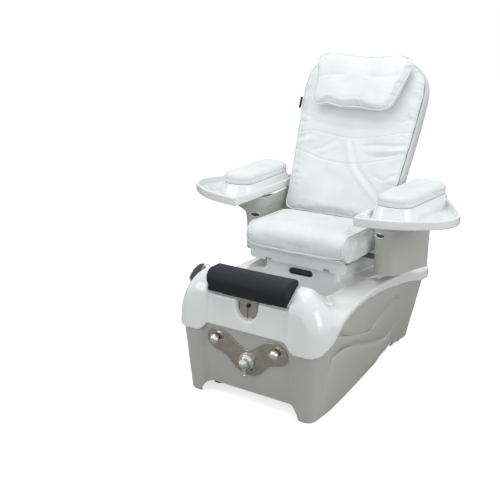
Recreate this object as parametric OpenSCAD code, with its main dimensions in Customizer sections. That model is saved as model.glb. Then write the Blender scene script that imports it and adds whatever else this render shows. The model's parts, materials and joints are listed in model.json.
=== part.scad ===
// Pedicure spa chair: foot basin base, sliding massage seat, manicure trays.
// X is across the chair, Y runs from the front to the rear, Z is up.
// Heights are from the floor. Y is given from the front of the tub, and
// place() moves the whole chair back so that the origin is under its middle.

/* [Base] */
// Y of the middle of the whole chair
mid_y = 598.8; // [590:0.1:610]
// Wall of the moulded shells
wall = 6; // [5:0.5:7]
// How far the tub front leans back over its height
front_lean = 30; // [20:1:36]
// Height of the seat plinth on the deck
plinth_z = 520; // [516:1:521]
// Half width of the seat plinth
plinth_half_w = 190; // [180:1:196]
// Y of the plinth front
plinth_y = 470; // [466:1:476]
// Floor of the foot basin
basin_z = 150; // [140:1:170]
// Width of the notch in the front panel
notch_w = 102; // [96:1:104]
// Height of the bottom of the notch
notch_z = 396; // [392:1:404]

/* [Water fittings] */
// Lean of the recessed front face, degrees
face_lean = 6.6; // [6.4:0.1:6.8]
// Distance of the knobs from the middle
knob_x = 148; // [144:1:150]
// Height of the knob axes
knob_z = 290; // [286:1:292]
// Diameter of the water knobs
knob_d = 44; // [38:1:48]
// Height of the diverter axis
diverter_z = 214; // [210:1:218]
// Diameter of the hand shower head
shower_d = 92; // [84:1:94]

/* [Seat] */
// Half width of the seat cushion
seat_half_w = 255; // [250:1:258]
// Underside of the seat board
seat_board_z = 565; // [565:1:566]
// Height of the seat cushion's crown
seat_top_z = 704; // [698:1:710]
// Diameter of the seat lead screw
screw_d = 14; // [12:1:14]

/* [Back] */
// Lean of the back from upright, degrees
back_lean = 23.5; // [23.5:0.5:23.5]
// Length of the back cushion along its face
back_len = 765; // [755:1:770]
// Thickness of the back cushion
back_thick = 26; // [22:1:28]
// Depth of the back shell behind the cushion's face
shell_depth = 172; // [160:1:174]
// Diameter of the back hinge pins
hinge_pin_d = 12; // [10:1:12]

/* [Arms] */
// Underside of the trays
tray_z = 764; // [764:1:764]
// Height of the tray rim
tray_rim_h = 40; // [36:1:42]
// Width of the flat tray rim
tray_rim_w = 13; // [10:1:14]
// Height of the pad plateau on the trays
plateau_z = 828; // [824:1:832]
// Diameter of the arm hinge pins
arm_pin_d = 10; // [8:1:10]

/* [Hidden] */

$fn = 48;
// Facets of the children of a hull
soft_fn = 32;
// Clearance of running fits, on the diameter
run_fit = 0.1;

// Tables of [y, value] that shape the tub along its length
tub_w = [[0, 296], [8, 318], [25, 342], [80, 365], [170, 362], [300, 352], [520, 341],
    [850, 342], [1000, 357], [1110, 357], [1170, 340], [1200, 305], [1210, 290]];
lip_z = [[0, 306], [30, 314], [60, 330], [105, 352], [157, 374], [226, 402], [331, 419],
    [440, 422], [560, 415], [700, 398], [900, 370], [1060, 338], [1210, 330]];
lip_band = [[0, 60], [60, 40], [110, 22], [180, 22], [360, 24], [480, 28], [600, 38],
    [800, 46], [1210, 50]];
crest_x = [[0, 232], [100, 243], [240, 246], [480, 258], [700, 285], [1210, 262]];
crest_z = [[0, 478], [8, 505], [30, 533], [62, 556], [92, 563], [125, 554], [160, 533], [235, 490],
    [330, 472], [520, 466], [700, 458], [900, 436], [1060, 405], [1190, 385], [1210, 372]];
fender_fall = [[0, 0.9], [120, 1.0], [240, 1.25], [400, 1.7], [1210, 1.7]];
tub_stations = [0, 8, 25, 50, 80, 110, 140, 170, 205, 240, 280, 330, 400, 480, 560,
    640, 720, 800, 880, 950, 1010, 1060, 1110, 1150, 1180, 1200, 1210];
fender_steps = 7;

// Right half of the skirt's plan: [floor x, floor y, top x, top y]
skirt_plan = [[0, 66, 0, 26], [176, 66, 184, 26], [200, 66, 208, 26], [203, 66, 211, 26], [213, 61, 221, 21],
    [226, 50, 235, 15], [266, 42, 274, 12], [306, 52, 321, 20], [319, 84, 347, 56],
    [316, 112, 334, 108], [318, 145, 344, 148], [318, 200, 344, 200], [314, 280, 337, 280],
    [309, 360, 332, 360], [303, 440, 328, 440], [297, 520, 326, 520],
    [290, 600, 325, 600], [283, 680, 326, 665], [276, 760, 326, 730],
    [269, 840, 325, 795], [263, 910, 323, 850], [259, 970, 330, 915],
    [264, 1030, 340, 985], [271, 1080, 343, 1060], [268, 1112, 336, 1135],
    [246, 1128, 300, 1175], [200, 1130, 230, 1182], [100, 1130, 110, 1182], [0, 1130, 0, 1182]];
// Lines of the sculpted side, as [y, z], and where they show
fold_low = [[130, 232], [180, 224], [260, 215], [365, 181], [465, 134], [570, 88], [700, 46], [960, 30]];
fold_mid = [[130, 302], [240, 284], [330, 262], [440, 232], [560, 199], [715, 156], [835, 122], [980, 70]];
fold_high = [[130, 390], [200, 372], [314, 320], [430, 284], [563, 268], [626, 280], [686, 296],
    [785, 322], [860, 336], [980, 340]];
side_mask = [[0, 0], [106, 0], [160, 1], [800, 1], [930, 0], [1210, 0]];
fold_depth = 13;

// Back outline: [height along the face, half width]
back_w = [[-45, 262], [-20, 272], [90, 273], [230, 285], [400, 299], [560, 309],
    [640, 309], [700, 294], [740, 260], [765, 208]];
// Pillow outline: [height along the back, half width]
pillow_w = [[498, 130], [506, 168], [522, 192], [560, 212], [640, 232], [700, 246], [740, 247],
    [772, 226], [790, 180]];

back_foot = [0, 765, 682];
back_pivot = [0, 838, 606];
arm_pivot = [0, 896, 752];
column_z = 470;
rail_x = 150;
rail_z = plinth_z;
frame_z = seat_board_z - 20;
screw_x = -38;
actuator_x = 34;
screw_z = 505;
lever_len = 104;
lever_lead = 17.5;
rod_z = back_pivot[2] - lever_len * cos(lever_lead);
rod_y = back_pivot[1] + lever_len * sin(lever_lead);
panel_foot = 345;
slider_y = 44;
face_y = 41;
tub_len = tub_stations[len(tub_stations) - 1];
shower_at = [-318, 214, 452];
outlet_z = plinth_z - 42;
massage_s = 180;

// ---------- helpers ----------

function row_at(table, u, i = 0) =
    i >= len(table) - 2 || u < table[i + 1][0] ? i : row_at(table, u, i + 1);

function slope(table, i) =
    let (a = max(0, i - 1), b = min(len(table) - 1, i + 1))
    (table[b][1] - table[a][1]) / (table[b][0] - table[a][0]);

// Smooth value of a table at u: a cubic between its rows
function smooth(table, u) =
    let (i = row_at(table, u), a = table[i], b = table[i + 1], h = b[0] - a[0],
         t = max(0, min(1, (u - a[0]) / h)))
    a[1] * (1 + 2 * t) * pow(1 - t, 2) + b[1] * t * t * (3 - 2 * t)
    + h * slope(table, i) * t * pow(1 - t, 2) - h * slope(table, i + 1) * t * t * (1 - t);

function mix(a, b, t) = a + (b - a) * t;

// One round of corner cutting on an open outline, ends kept
function round_off(pts) = concat([pts[0]],
    [for (i = [0 : len(pts) - 2]) each [mix(pts[i], pts[i + 1], 0.25), mix(pts[i], pts[i + 1], 0.75)]],
    [pts[len(pts) - 1]]);

// Rounded rectangle as points, n steps a corner
function round_rect(hx, hy, r, n = 4) = [for (c = [[1, 1, 0], [-1, 1, 90], [-1, -1, 180], [1, -1, 270]],
    k = [0 : n]) let (a = c[2] + 90 * k / n)
    [c[0] * (hx - r) + r * cos(a), c[1] * (hy - r) + r * sin(a)]];

module place() {
    translate([0, -mid_y, 0]) children();
}

module both_sides() {
    children();
    mirror([1, 0, 0]) children();
}

// Skin through a list of rings, closed at both ends. Seen from the last ring
// they run counterclockwise.
module loft(rings) {
    n = len(rings[0]);
    last = (len(rings) - 1) * n;
    sides = [for (k = [0 : len(rings) - 2], i = [0 : n - 1])
        let (a = k * n + i, b = k * n + (i + 1) % n)
        each [[a, a + n, b + n], [a, b + n, b]]];
    ends = [[for (i = [0 : n - 1]) i], [for (i = [n - 1 : -1 : 0]) last + i]];
    polyhedron([for (ring = rings) each ring], concat(sides, ends), convexity = 8);
}

// Upright block with rounded corners
module slab(hx, hy, h, r) {
    linear_extrude(h) polygon(round_rect(hx, hy, r));
}

module bar_y(x, y0, y1, z, w, h) {
    translate([x - w / 2, y0, z]) cube([w, y1 - y0, h]);
}

module bar_x(x0, x1, y, z, w, h) {
    translate([x0, y - w / 2, z]) cube([x1 - x0, w, h]);
}

module rod_along_y(x, y0, y1, z, d) {
    translate([x, y0, z]) rotate([-90, 0, 0]) cylinder(h = y1 - y0, d = d);
}

module rod_along_x(x0, x1, y, z, d) {
    translate([x0, y, z]) rotate([0, 90, 0]) cylinder(h = x1 - x0, d = d);
}

// The back's own frame: x across, y through the back, z along its face
module on_back() {
    translate(back_foot) rotate([-back_lean, 0, 0]) children();
}

// The frame of the leaning front face, at the diverter axis
module on_face() {
    translate([0, face_y, diverter_z]) rotate([face_lean, 0, 0]) children();
}

// ---------- tub ----------

// Right half of a cross-section of the tub, from the lip's foot to the crest
function fender(y, inset) =
    let (w = smooth(tub_w, y) - inset, foot = smooth(lip_z, y) - 3 * inset,
         band = smooth(lip_z, y) + smooth(lip_band, y), x = smooth(crest_x, y) - inset,
         top = smooth(crest_z, y) - inset, k = smooth(fender_fall, y))
    concat([[w, foot]], [for (i = [0 : fender_steps]) let (a = 90 * i / fender_steps)
        [x + (w - x) * pow(cos(a), k), band + (top - band) * pow(sin(a), k)]]);

function lean_y(y, z) = y + front_lean * max(0, 1 - y / 200) * max(0, z - 300) / 230;

function tub_ring(y, inset) =
    let (half = fender(y, inset), n = len(half), at = mix(inset, tub_len - inset, y / tub_len))
    concat([for (p = half) [-p[0], lean_y(at, p[1]), p[1]]],
           [for (i = [n - 1 : -1 : 0]) [half[i][0], lean_y(at, half[i][1]), half[i][1]]]);

module tub_hull(inset) {
    loft([for (y = tub_stations) tub_ring(y, inset)]);
}

// Prism across the chair with a [y, z] profile
module across(half_w, profile) {
    rotate([90, 0, 90]) linear_extrude(2 * half_w, center = true) polygon(profile);
}

// The hollow between the pillars in front of the panel
module panel_recess(depth, half_w, foot) {
    across(half_w, [[-60, foot], [depth, foot], [depth + front_lean, 530], [depth + front_lean, 640],
        [-60, 640]]);
}

module basin_space(grow) {
    hull() {
        translate([0, 285, basin_z - grow]) slab(150 + grow, 128 + grow, 1, 50 + grow);
        translate([0, 275, 300]) slab(196 + grow, 176 + grow, 1, 60 + grow);
    }
    hull() {
        translate([0, 275, 300]) slab(196 + grow, 176 + grow, 1, 60 + grow);
        translate([0, 162, 420]) slab(206 + grow, 76 + grow, 1, 30 + grow);
        translate([0, 390, 440]) slab(228 + grow, 78 + grow, 1, 40 + grow);
    }
}

module basin_mouth() {
    hull() {
        translate([0, 162, 419]) slab(206, 76, 1, 30);
        translate([0, 160, 620]) slab(214, 76, 1, 30);
    }
    hull() {
        translate([0, 162, 419]) slab(206, 76, 1, 30);
        translate([0, 390, 439]) slab(228, 78, 1, 40);
        translate([0, 160, 500]) slab(212, 76, 1, 30);
        translate([0, 392, 500]) slab(238, 78, 1, 40);
    }
    translate([0, 392, 499]) slab(238, 78, 60, 40);
}

// The frame of a jet on the basin's side wall, its z pointing out through it
module on_basin_wall() {
    translate([mix(150, 196, 0.6), 275, mix(basin_z, 300, 0.6)])
        rotate([0, 90 + atan(46 / (300 - basin_z)), 0]) children();
}

module plinth(inset) {
    hull() for (y = [plinth_y + 40, 1010])
        translate([0, y, 380]) slab(plinth_half_w - inset, 40 - inset, plinth_z - 380 - inset, 24);
}

module drive_slot() {
    translate([0, 784, plinth_z - 60]) slab(74, 254, 100, 20);
}

// U-shaped notch in the front panel with the slot for the slider
module notch() {
    hull() for (z = [notch_z + notch_w / 2, 620])
        translate([0, 0, z]) rotate([-90, 0, 0]) cylinder(h = 52, d = notch_w, $fn = soft_fn);
}

module tub_shell() {
    color("#f0f2f2") place() difference() {
        union() {
            difference() {
                tub_hull(0);
                difference() {
                    tub_hull(wall);
                    panel_recess(12 + wall, 219, 280);
                    across(240, [[0, 478 - wall], [90, 478 - wall], [90, 640], [0, 640]]);
                }
            }
            intersection() {
                basin_space(wall);
                translate([-400, 20, 0]) cube([800, 600, 472]);
            }
            plinth(0);
            translate(shower_at) translate([0, 0, -38]) cylinder(h = 60, d = 54, $fn = soft_fn);
        }
        basin_space(0);
        basin_mouth();
        panel_recess(12, 212, panel_foot);
        translate([-212, -60, 280]) cube([424, 100, panel_foot - 280]);
        across(212, [[-10, 478], [118, 478], [118, 700], [-10, 700]]);
        notch();
        difference() {
            plinth(wall);
            basin_space(wall);
        }
        translate([0, 790, 370]) slab(plinth_half_w - wall, 270, plinth_z - wall - 371, 24);
        drive_slot();
        hull() for (x = [-46, 46])
            translate([x, plinth_y - 4, outlet_z]) rotate([-90, 0, 0]) cylinder(h = 14, d = 26, $fn = 24);
        translate([0, 285, basin_z - 20]) cylinder(h = 40, d = 52);
        both_sides() on_basin_wall() cylinder(h = 60, d = 40, center = true);
        translate(shower_at) {
            translate([0, 0, -80]) cylinder(h = 160, d = 30);
            translate([0, 0, 11.9]) cylinder(h = 60, d = 43);
        }
    }
}

// ---------- skirt ----------

// Height of skirt ring k at plan position y; it meets the panel's foot in the middle
function skirt_ring_z(k, x, y) =
    let (top = x < 209.5 && y < 60 ? panel_foot - 0.4 : smooth(lip_z, y) + 12, m = smooth(side_mask, y),
         low = smooth(fold_low, y), mid = smooth(fold_mid, y),
         high = min(smooth(fold_high, y), top - 10),
         folds = [0, 12, low * 0.55, low, (low + mid) / 2, mid - 16, mid, (mid + high) / 2,
             high - 14, high, top],
         even = [0, 12, 50, 90, 130, 165, 200, 232, 262, 290, top])
    mix(even[k], folds[k], m);

// How far ring k stands out from the plain side
function skirt_ring_out(k, y) =
    let (m = smooth(side_mask, y), d = fold_depth)
    [-10, 0, 4, 6, -1, -d, -1, -d * 0.3, -d, -1, -3][k] * (k == 0 ? 1 : m);

// Outward direction at point i of an outline
function outward(pts, i) =
    let (a = pts[max(0, i - 1)], b = pts[min(len(pts) - 1, i + 1)], v = [b[1] - a[1], a[0] - b[0]])
    v / norm(v);

function skirt_half(k, inset) =
    let (plan = round_off(skirt_plan), floor_pts = [for (p = plan) [p[0], p[1]]])
    [for (i = [0 : len(plan) - 1])
        let (p = plan[i], y = mix(p[1], p[3], k / 10), z = skirt_ring_z(k, p[2], y), t = min(1, z / panel_foot),
             n = outward(floor_pts, i), out = skirt_ring_out(k, y) - inset)
        [max(0, mix(p[0], p[2], t) + n[0] * out), mix(p[1], p[3], t) + n[1] * out, z]];

function skirt_ring(k, inset) =
    let (half = skirt_half(k, inset), n = len(half))
    concat(half, [for (i = [n - 2 : -1 : 1]) [-half[i][0], half[i][1], half[i][2]]]);

module skirt_solid() {
    loft([for (k = [0 : 10]) skirt_ring(k, 0)]);
}

// Plain inside of the skirt, clear of its folds
module skirt_inside() {
    difference() {
        hull() {
            translate([0, 598, -1]) slab(268, 520, 1, 60);
            translate([0, 606, 460]) slab(302, 566, 1, 60);
        }
        across(400, [[0, -2], [76, -2], [30, 345], [30, 470], [0, 470]]);
    }
}

module skirt_vents() {
    for (row = [0 : 4]) hull() for (x = [-60, 60])
        translate([x, 1100, 150 + 24 * row]) rotate([-90, 0, 0]) cylinder(h = 120, d = 8, $fn = 16);
}

module base_skirt() {
    color("#c9cac6") place() difference() {
        skirt_solid();
        skirt_inside();
        hull() for (x = [-182, 182], z = [-20, 30])
            translate([x, 20, z]) rotate([-90, 0, 0]) cylinder(h = 90, r = 28, $fn = soft_fn);
        for (s = [-1, 1]) hull() for (y = [740, 920], z = [-30, 8])
            translate([s * 300, y, z]) rotate([0, 90, 0]) cylinder(h = 120, r = 26, center = true, $fn = soft_fn);
        hull() for (x = [-200, 200], z = [-20, 12])
            translate([x, 1090, z]) rotate([-90, 0, 0]) cylinder(h = 90, r = 28, $fn = soft_fn);
        skirt_vents();
        translate(shower_at) translate([0, 0, -47]) cylinder(h = 80, d = 60);
        on_face() for (p = [[-knob_x, knob_z - diverter_z], [knob_x, knob_z - diverter_z], [0, 0]])
            translate([p[0], -30, p[1]]) rotate([-90, 0, 0]) cylinder(h = 60, d = 34, $fn = soft_fn);
        for (x = [-90, -40]) translate([x, 1080, 90]) rotate([-90, 0, 0]) cylinder(h = 120, d = 27, $fn = soft_fn);
        translate([90, 1080, 90]) rotate([-90, 0, 0]) cylinder(h = 120, d = 21, $fn = soft_fn);
    }
}

// ---------- chassis and wet side ----------

module chassis_frame() {
    color("#6d7174") place() {
        both_sides() {
            bar_y(235, 140, 1060, 20, 30, 30);
            translate([135, 545, 50]) cube([30, 30, plinth_z - wall - 51]);
            translate([135, 975, 50]) cube([30, 30, plinth_z - wall - 51]);
        }
        for (y = [560, 990]) bar_x(-219.9, 219.9, y, 20, 30, 30);
        bar_x(-134.9, 134.9, 990, 330, 30, 30);
    }
}

module floor_pads() {
    color("#2b2d2f") place() both_sides() for (y = [170, 1030])
        translate([235, y, 0]) cylinder(h = 20, d = 56);
}

module waterfall_outlet() {
    color("#3b4247") place() difference() {
        hull() for (x = [-46, 46])
            translate([x, plinth_y - 1.5, outlet_z]) rotate([-90, 0, 0])
                cylinder(h = 24, d = 25.6, $fn = 24);
        hull() for (x = [-44, 44])
            translate([x, plinth_y - 2, outlet_z]) rotate([-90, 0, 0])
                cylinder(h = 20, d = 19, $fn = 24);
        translate([0, plinth_y + 10, outlet_z]) rotate([-90, 0, 0]) cylinder(h = 20, d = 14);
    }
}

module jet_nozzles() {
    color("#c8ccd0") place() both_sides() on_basin_wall() difference() {
        union() {
            translate([0, 0, -4.2]) cylinder(h = 4, d = 56);
            translate([0, 0, -0.3]) cylinder(h = 40.3, d = 39.8);
        }
        translate([0, 0, -5]) cylinder(h = 50, d = 22);
    }
}

module drain_body() {
    color("#b9bdc1") place() translate([0, 285, 0]) difference() {
        union() {
            translate([0, 0, basin_z + 0.2]) cylinder(h = 3, d = 70);
            translate([0, 0, 92]) cylinder(h = basin_z - 91.9, d = 51.8);
        }
        translate([0, 0, 96]) cylinder(h = basin_z, d = 40);
        translate([0, 0, 90]) cylinder(h = 10, d = 30);
    }
}

module drain_plug() {
    color("#d5d8da") place() translate([0, 285, basin_z - 3]) difference() {
        union() {
            cylinder(h = 5, d = 39);
            translate([0, 0, 5]) cylinder(h = 2, d1 = 39, d2 = 26);
            translate([0, 0, -30]) cylinder(h = 31, d = 8);
        }
        translate([0, 0, 6]) rotate_extrude() translate([9, 0]) square([3, 2]);
    }
}

module circulation_pump() {
    color("#303437") place() translate([0, 700, 51]) {
        translate([-60, -60, 0]) cube([120, 170, 10]);
        translate([0, 0, 70]) rotate([-90, 0, 0]) {
            cylinder(h = 104, d = 104);
            for (k = [0 : 7]) translate([0, 0, 18 + 10 * k]) cylinder(h = 4, d = 112);
        }
        translate([0, -42, 70]) rotate([-90, 0, 0]) cylinder(h = 42, d = 116);
        translate([0, -58, 70]) rotate([-90, 0, 0]) cylinder(h = 17, d = 44);
        translate([0, -20, 120]) cylinder(h = 34, d = 40);
    }
}

// Round pipe through a list of points, with a ball elbow at each bend
module pipe(pts, d) {
    for (i = [0 : len(pts) - 2]) {
        v = pts[i + 1] - pts[i];
        translate(pts[i]) rotate([0, acos(v[2] / norm(v)), atan2(v[1], v[0])])
            cylinder(h = norm(v), d = d, $fn = 24);
        if (i > 0) translate(pts[i]) sphere(d = d * 1.3, $fn = 24);
    }
}

module pump_pipes() {
    color("#d9dbd8") place() {
        pipe([[0, 641.8, 121], [0, 600, 121], [0, 600, 68], [0, 285, 68], [0, 285, 91.8]], 32);
        difference() {
            pipe([[0, 680, 205.2], [0, 680, 300], [0, 518, 300], [0, 518, outlet_z],
                [0, plinth_y + 22.7, outlet_z]], 20);
            translate([-20, 670, 190]) cube([40, 20, 15.1]);
        }
        both_sides() pipe([[10.2, 680, 221.5], [238, 680, 221.5], [238, 275, 221.5],
            [216, 275, 228.2]], 20);
    }
}

module control_box() {
    color("#e2e4e2") place() translate([0, 900, 370]) {
        translate([-80, -50, -10]) cube([160, 100, 70]);
        for (x = [-50, -10, 30]) translate([x, -58, 10]) cube([22, 8, 14]);
    }
}

module rear_inlets() {
    color("#b08d57") place() {
        for (x = [-90, -40]) {
            rod_along_y(x, 1084, 1180, 90, 26);
            rod_along_y(x, 1180, 1196, 90, 20);
        }
        difference() {
            rod_along_y(90, 1084, 1176, 90, 20);
            rod_along_y(90, 1080, 1147, 90, 14);
            rod_along_y(90, 1146, 1180, 90, 9);
        }
    }
}

module plate_outline() {
    offset(r = -14) offset(r = 14) {
        for (s = [-1, 1]) hull() {
            translate([s * knob_x, knob_z - diverter_z]) circle(r = 43);
            translate([s * 22, 2]) circle(r = 24);
        }
        circle(r = 60);
    }
}

module faucet_plate() {
    color("#b7b0a6") place() on_face() difference() {
        union() {
            translate([0, -1, 0]) rotate([90, 0, 0]) linear_extrude(3) plate_outline();
            translate([0, -4, 0]) rotate([90, 0, 0]) linear_extrude(2)
                offset(r = -4) plate_outline();
        }
        for (p = [[-knob_x, knob_z - diverter_z], [knob_x, knob_z - diverter_z], [0, 0]])
            translate([p[0], -8, p[1]]) rotate([-90, 0, 0]) cylinder(h = 12, d = 20.4);
    }
}

module mixer_valves() {
    color("#a88a52") place() on_face() {
        for (x = [-knob_x, knob_x]) translate([x, 0, knob_z - diverter_z]) rotate([-90, 0, 0]) {
            translate([0, 0, -9]) cylinder(h = 30, d = 20);
            translate([0, 0, 3]) cylinder(h = 31, d = 30);
        }
        translate([-knob_x - 15, 34.1, knob_z - diverter_z - 12]) cube([2 * knob_x + 30, 14, 24]);
        translate([-9, 34.1, 0]) cube([18, 14, knob_z - diverter_z - 12.1]);
    }
}

// Cut knob with n sides on a round collar, its foot on the plate
module knob(d, n) {
    cuts = [[0.39, 13], [0.44, 17], [0.5, 30], [0.42, 37], [0.24, 41]];
    rotate([90, 0, 0]) {
        translate([0, 0, 9.3]) cylinder(h = 6, d = d * 0.62);
        loft([for (c = cuts) [for (i = [0 : n - 1])
            let (a = 360 * (i + 0.5) / n) [d * c[0] * cos(a), d * c[0] * sin(a), c[1]]]]);
    }
}

module hot_knob() {
    color("#cfd6dc") place() on_face()
        translate([-knob_x, 0, knob_z - diverter_z]) knob(knob_d, 8);
}

module cold_knob() {
    color("#cfd6dc") place() on_face()
        translate([knob_x, 0, knob_z - diverter_z]) knob(knob_d, 8);
}

module diverter_hub() {
    color("#c5cbd0") place() on_face() rotate([90, 0, 0]) {
        translate([0, 0, 6.2]) cylinder(h = 8, d = 74);
        translate([0, 0, 14.2]) cylinder(h = 10, d1 = 62, d2 = 48);
        translate([0, 0, -30]) cylinder(h = 36.3, d = 20);
    }
}

module diverter_lever() {
    color("#d3dadf") place() on_face() {
        rotate([90, 0, 0]) {
            translate([0, 0, 24.6]) cylinder(h = 12, d = 46);
            translate([0, 0, 36.6]) rotate(30) cylinder(h = 16, d1 = 46, d2 = 20, $fn = 6);
        }
        hull() {
            translate([0, -30.6, -14]) rotate([90, 0, 0]) cylinder(h = 10, d = 20, center = true);
            translate([0, -30.6, -54]) rotate([90, 0, 0]) cylinder(h = 8, d = 12, center = true);
        }
        translate([0, -30.6, -60]) sphere(d = 15);
    }
}

module shower_dock() {
    color("#cdd2d6") place() translate(shower_at) difference() {
        union() {
            translate([0, 0, -44]) cylinder(h = 56, d = 29.6);
            translate([0, 0, 12]) cylinder(h = 10, d = 42);
        }
        translate([0, 0, -50]) cylinder(h = 80, d = 24.6);
    }
}

module hand_shower() {
    color("#d6dce1") place() translate(shower_at) {
        translate([0, 0, 22.4]) cylinder(h = 6, d = 30);
        pipe([[0, 0, -40], [0, 0, 37], [-26, -10, 42]], 24);
        translate([-36, -12, 50]) rotate([8, -33, 0]) difference() {
            union() {
                cylinder(h = 12, d = shower_d);
                translate([0, 0, -18]) cylinder(h = 18, d1 = 34, d2 = shower_d - 4);
            }
            translate([0, 0, 7]) cylinder(h = 8, d = shower_d - 12);
        }
    }
}

// ---------- footrest ----------

module footrest_guide() {
    color("#9a9a96") place() difference() {
        union() {
            translate([-66, slider_y + 3.4, 360]) cube([132, 3, 104]);
            both_sides() translate([45.4, slider_y - 0.6, 360]) cube([8, 4, 104]);
        }
        rod_along_y(0, slider_y, slider_y + 10, 456, 6.4);
    }
}

module footrest_slider() {
    color("#a79f90") place() {
        difference() {
            translate([-44, slider_y, 360]) cube([88, 3, 126]);
            translate([-6, slider_y - 1, 368]) cube([12, 5, 98]);
        }
        across(120, [[30, 486], [110, 548], [108, 551], [28, 489]]);
    }
}

module footrest_screw() {
    color("#33373a") place() {
        rod_along_y(0, slider_y - 5, slider_y - 0.4, 456, 18);
        rod_along_y(0, slider_y - 0.4, slider_y + 20, 456, 6.2);
    }
}

// Side profile of the footrest roll, over its flat leaning underside
roll_profile = concat([[22, 484.6]],
    [for (a = [215 : -12.5 : 90]) [56 + 46 * cos(a), 545 + 46 * sin(a)]],
    [for (a = [80 : -15 : -40]) [98 + 26 * cos(a), 567 + 24 * sin(a)]],
    [[112, 554.4]]);

module footrest_pad() {
    ends = [[211.2, 0.14], [209.6, 0.06], [205, 0.015], [197, 0]];
    steps = concat(ends, [for (i = [len(ends) - 1 : -1 : 0]) [-ends[i][0], ends[i][1]]]);
    color("#2e353d") place() loft([for (e = steps)
        [for (p = roll_profile) let (q = mix(p, [66, 548], e[1])) [e[0], q[0], q[1]]]]);
}

// ---------- seat slide ----------

module slide_rails() {
    color("#8d9195") place() both_sides() translate([rail_x, 0, rail_z]) {
        bar_y(0, 500, 1040, 0, 26, 4);
        bar_y(0, 500, 1040, 4, 10, 4);
        bar_y(0, 500, 1040, 8, 18, 4);
    }
}

module slide_motor() {
    color("#3a3e41") place() difference() {
        union() {
            translate([screw_x - 30, 985, screw_z - 34]) cube([60, 36, 42]);
            rod_along_y(screw_x, 1020.9, 1024, screw_z - 12, 40);
            bar_x(screw_x - 34, screw_x + 34, 1003, plinth_z - 50, 30, 12);
        }
        rod_along_y(screw_x, 984, 1010, screw_z, screw_d + run_fit);
    }
}

module front_bearing() {
    color("#8d9195") place() difference() {
        union() {
            translate([screw_x - 15, 538, plinth_z - wall - 40]) cube([30, 18, 45]);
            translate([screw_x - 30, 538, plinth_z - wall - 46]) cube([60, 18, 6.1]);
        }
        rod_along_y(screw_x, 530, 560, screw_z, screw_d + run_fit);
    }
}

module lead_screw() {
    color("#b4b8bb") place() {
        rod_along_y(screw_x, 532, 1008, screw_z, screw_d);
        rod_along_y(screw_x, 533, 537.6, screw_z, screw_d + 6);
    }
}

module screw_nut() {
    color("#c9a45a") place() difference() {
        union() {
            rod_along_y(screw_x, 590, 630, screw_z, 26);
            translate([screw_x - 11, 596, screw_z + 8]) cube([22, 28, frame_z - screw_z - 8.1]);
        }
        rod_along_y(screw_x, 580, 640, screw_z, screw_d + run_fit);
    }
}

// Runner that hooks under the head of a rail
module runner(y) {
    translate([rail_x - 18, y, rail_z]) difference() {
        translate([0, 0, 4.4]) cube([36, 70, frame_z - rail_z - 4.4]);
        translate([8.6, -1, 7.6]) cube([18.8, 72, 4.8]);
        translate([12.6, -1, 0]) cube([10.8, 72, 10]);
    }
}

module seat_frame() {
    color("#787c80") place() {
        both_sides() {
            bar_y(rail_x, 480, 852, frame_z, 30, 20);
            for (y = [520, 740]) runner(y);
            difference() {
                translate([rail_x - 15, 800, frame_z + 20]) cube([8, 62, 60]);
                rod_along_x(0, 300, back_pivot[1], back_pivot[2], hinge_pin_d + run_fit);
            }
            for (y = [660, 820]) bar_x(rail_x + 15, 335, y, frame_z - 1, 26, 18);
            bar_y(322, 673, 807, frame_z - 1, 26, 18);
        }
        for (y = [500, 610, 780]) bar_x(-rail_x + 15, rail_x - 15, y, frame_z, 26, 20);
    }
}

module seat_board() {
    color("#b99a6b") place() translate([0, 600, seat_board_z]) slab(228, 150, 12, 24);
}

// Side profile of the seat cushion, from its rear foot forward and over
seat_profile = [[756, 566], [640, 565.4], [500, 565.4], [440, 570], [410, 586], [390, 612],
    [384, 642], [394, 674], [422, 697], [480, 704], [600, 702], [690, 698], [736, 690],
    [756, 672], [762, 630]];

function seat_ring(x) =
    let (e = pow(abs(x) / seat_half_w, 10), c = [580, 628])
    [for (p = seat_profile) let (q = mix(p, c, 0.13 * e),
        crown = p[1] > 660 ? (seat_top_z - 704) + 6 * cos(90 * x / seat_half_w) - 6 : 0)
        [x, q[0], q[1] + crown]];

module seat_cushion() {
    xs = [255, 250, 236, 200, 120, 0, -120, -200, -236, -250, -255];
    color("#eceff0") place() difference() {
        loft([for (x = xs) seat_ring(x * seat_half_w / 255)]);
        translate([0, 600, 500]) slab(230, 152, seat_board_z + 12.3 - 500, 24);
    }
}

// Apron with a notch over each rail
module seat_apron() {
    color("#e1e5e5") place() {
        difference() {
            hull() for (s = [-1, 1], z = [plinth_z + 9.5, 560])
                translate([s * 239, 430, z]) rotate([-90, 0, 0]) cylinder(h = 5, d = z > 540 ? 4 : 16, $fn = 16);
            for (x = [-rail_x, rail_x]) translate([x - 16, 420, plinth_z]) cube([32, 20, 13.5]);
        }
        translate([-228, 435.2, 556]) cube([456, 10, 4]);
        translate([-228, 441.2, 560]) cube([456, 4, 4.9]);
    }
}

// ---------- arms ----------

// Slices of a column: [height, nose growth, outward reach of its flare]
column_slices = [[column_z, 0, 0], [670, 2, 6], [702, 6, 40], [732, 12, 96], [tray_z - 0.4, 20, 168]];

// Plan of a column at slice s: a round nose, a wide rear and a flare that reaches out
module column_slice(s, inset) {
    translate([0, 0, s[0]]) linear_extrude(0.1) hull() {
        translate([333, 634]) circle(r = 40 + s[1] - inset, $fn = 24);
        translate([352, 896]) circle(r = 46 - inset, $fn = 24);
        translate([388, 890]) circle(r = 40 + s[1] - inset, $fn = 24);
        translate([352 + s[2], 640 - s[2] * 0.28]) circle(r = 38 - inset, $fn = 24);
    }
}

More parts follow.
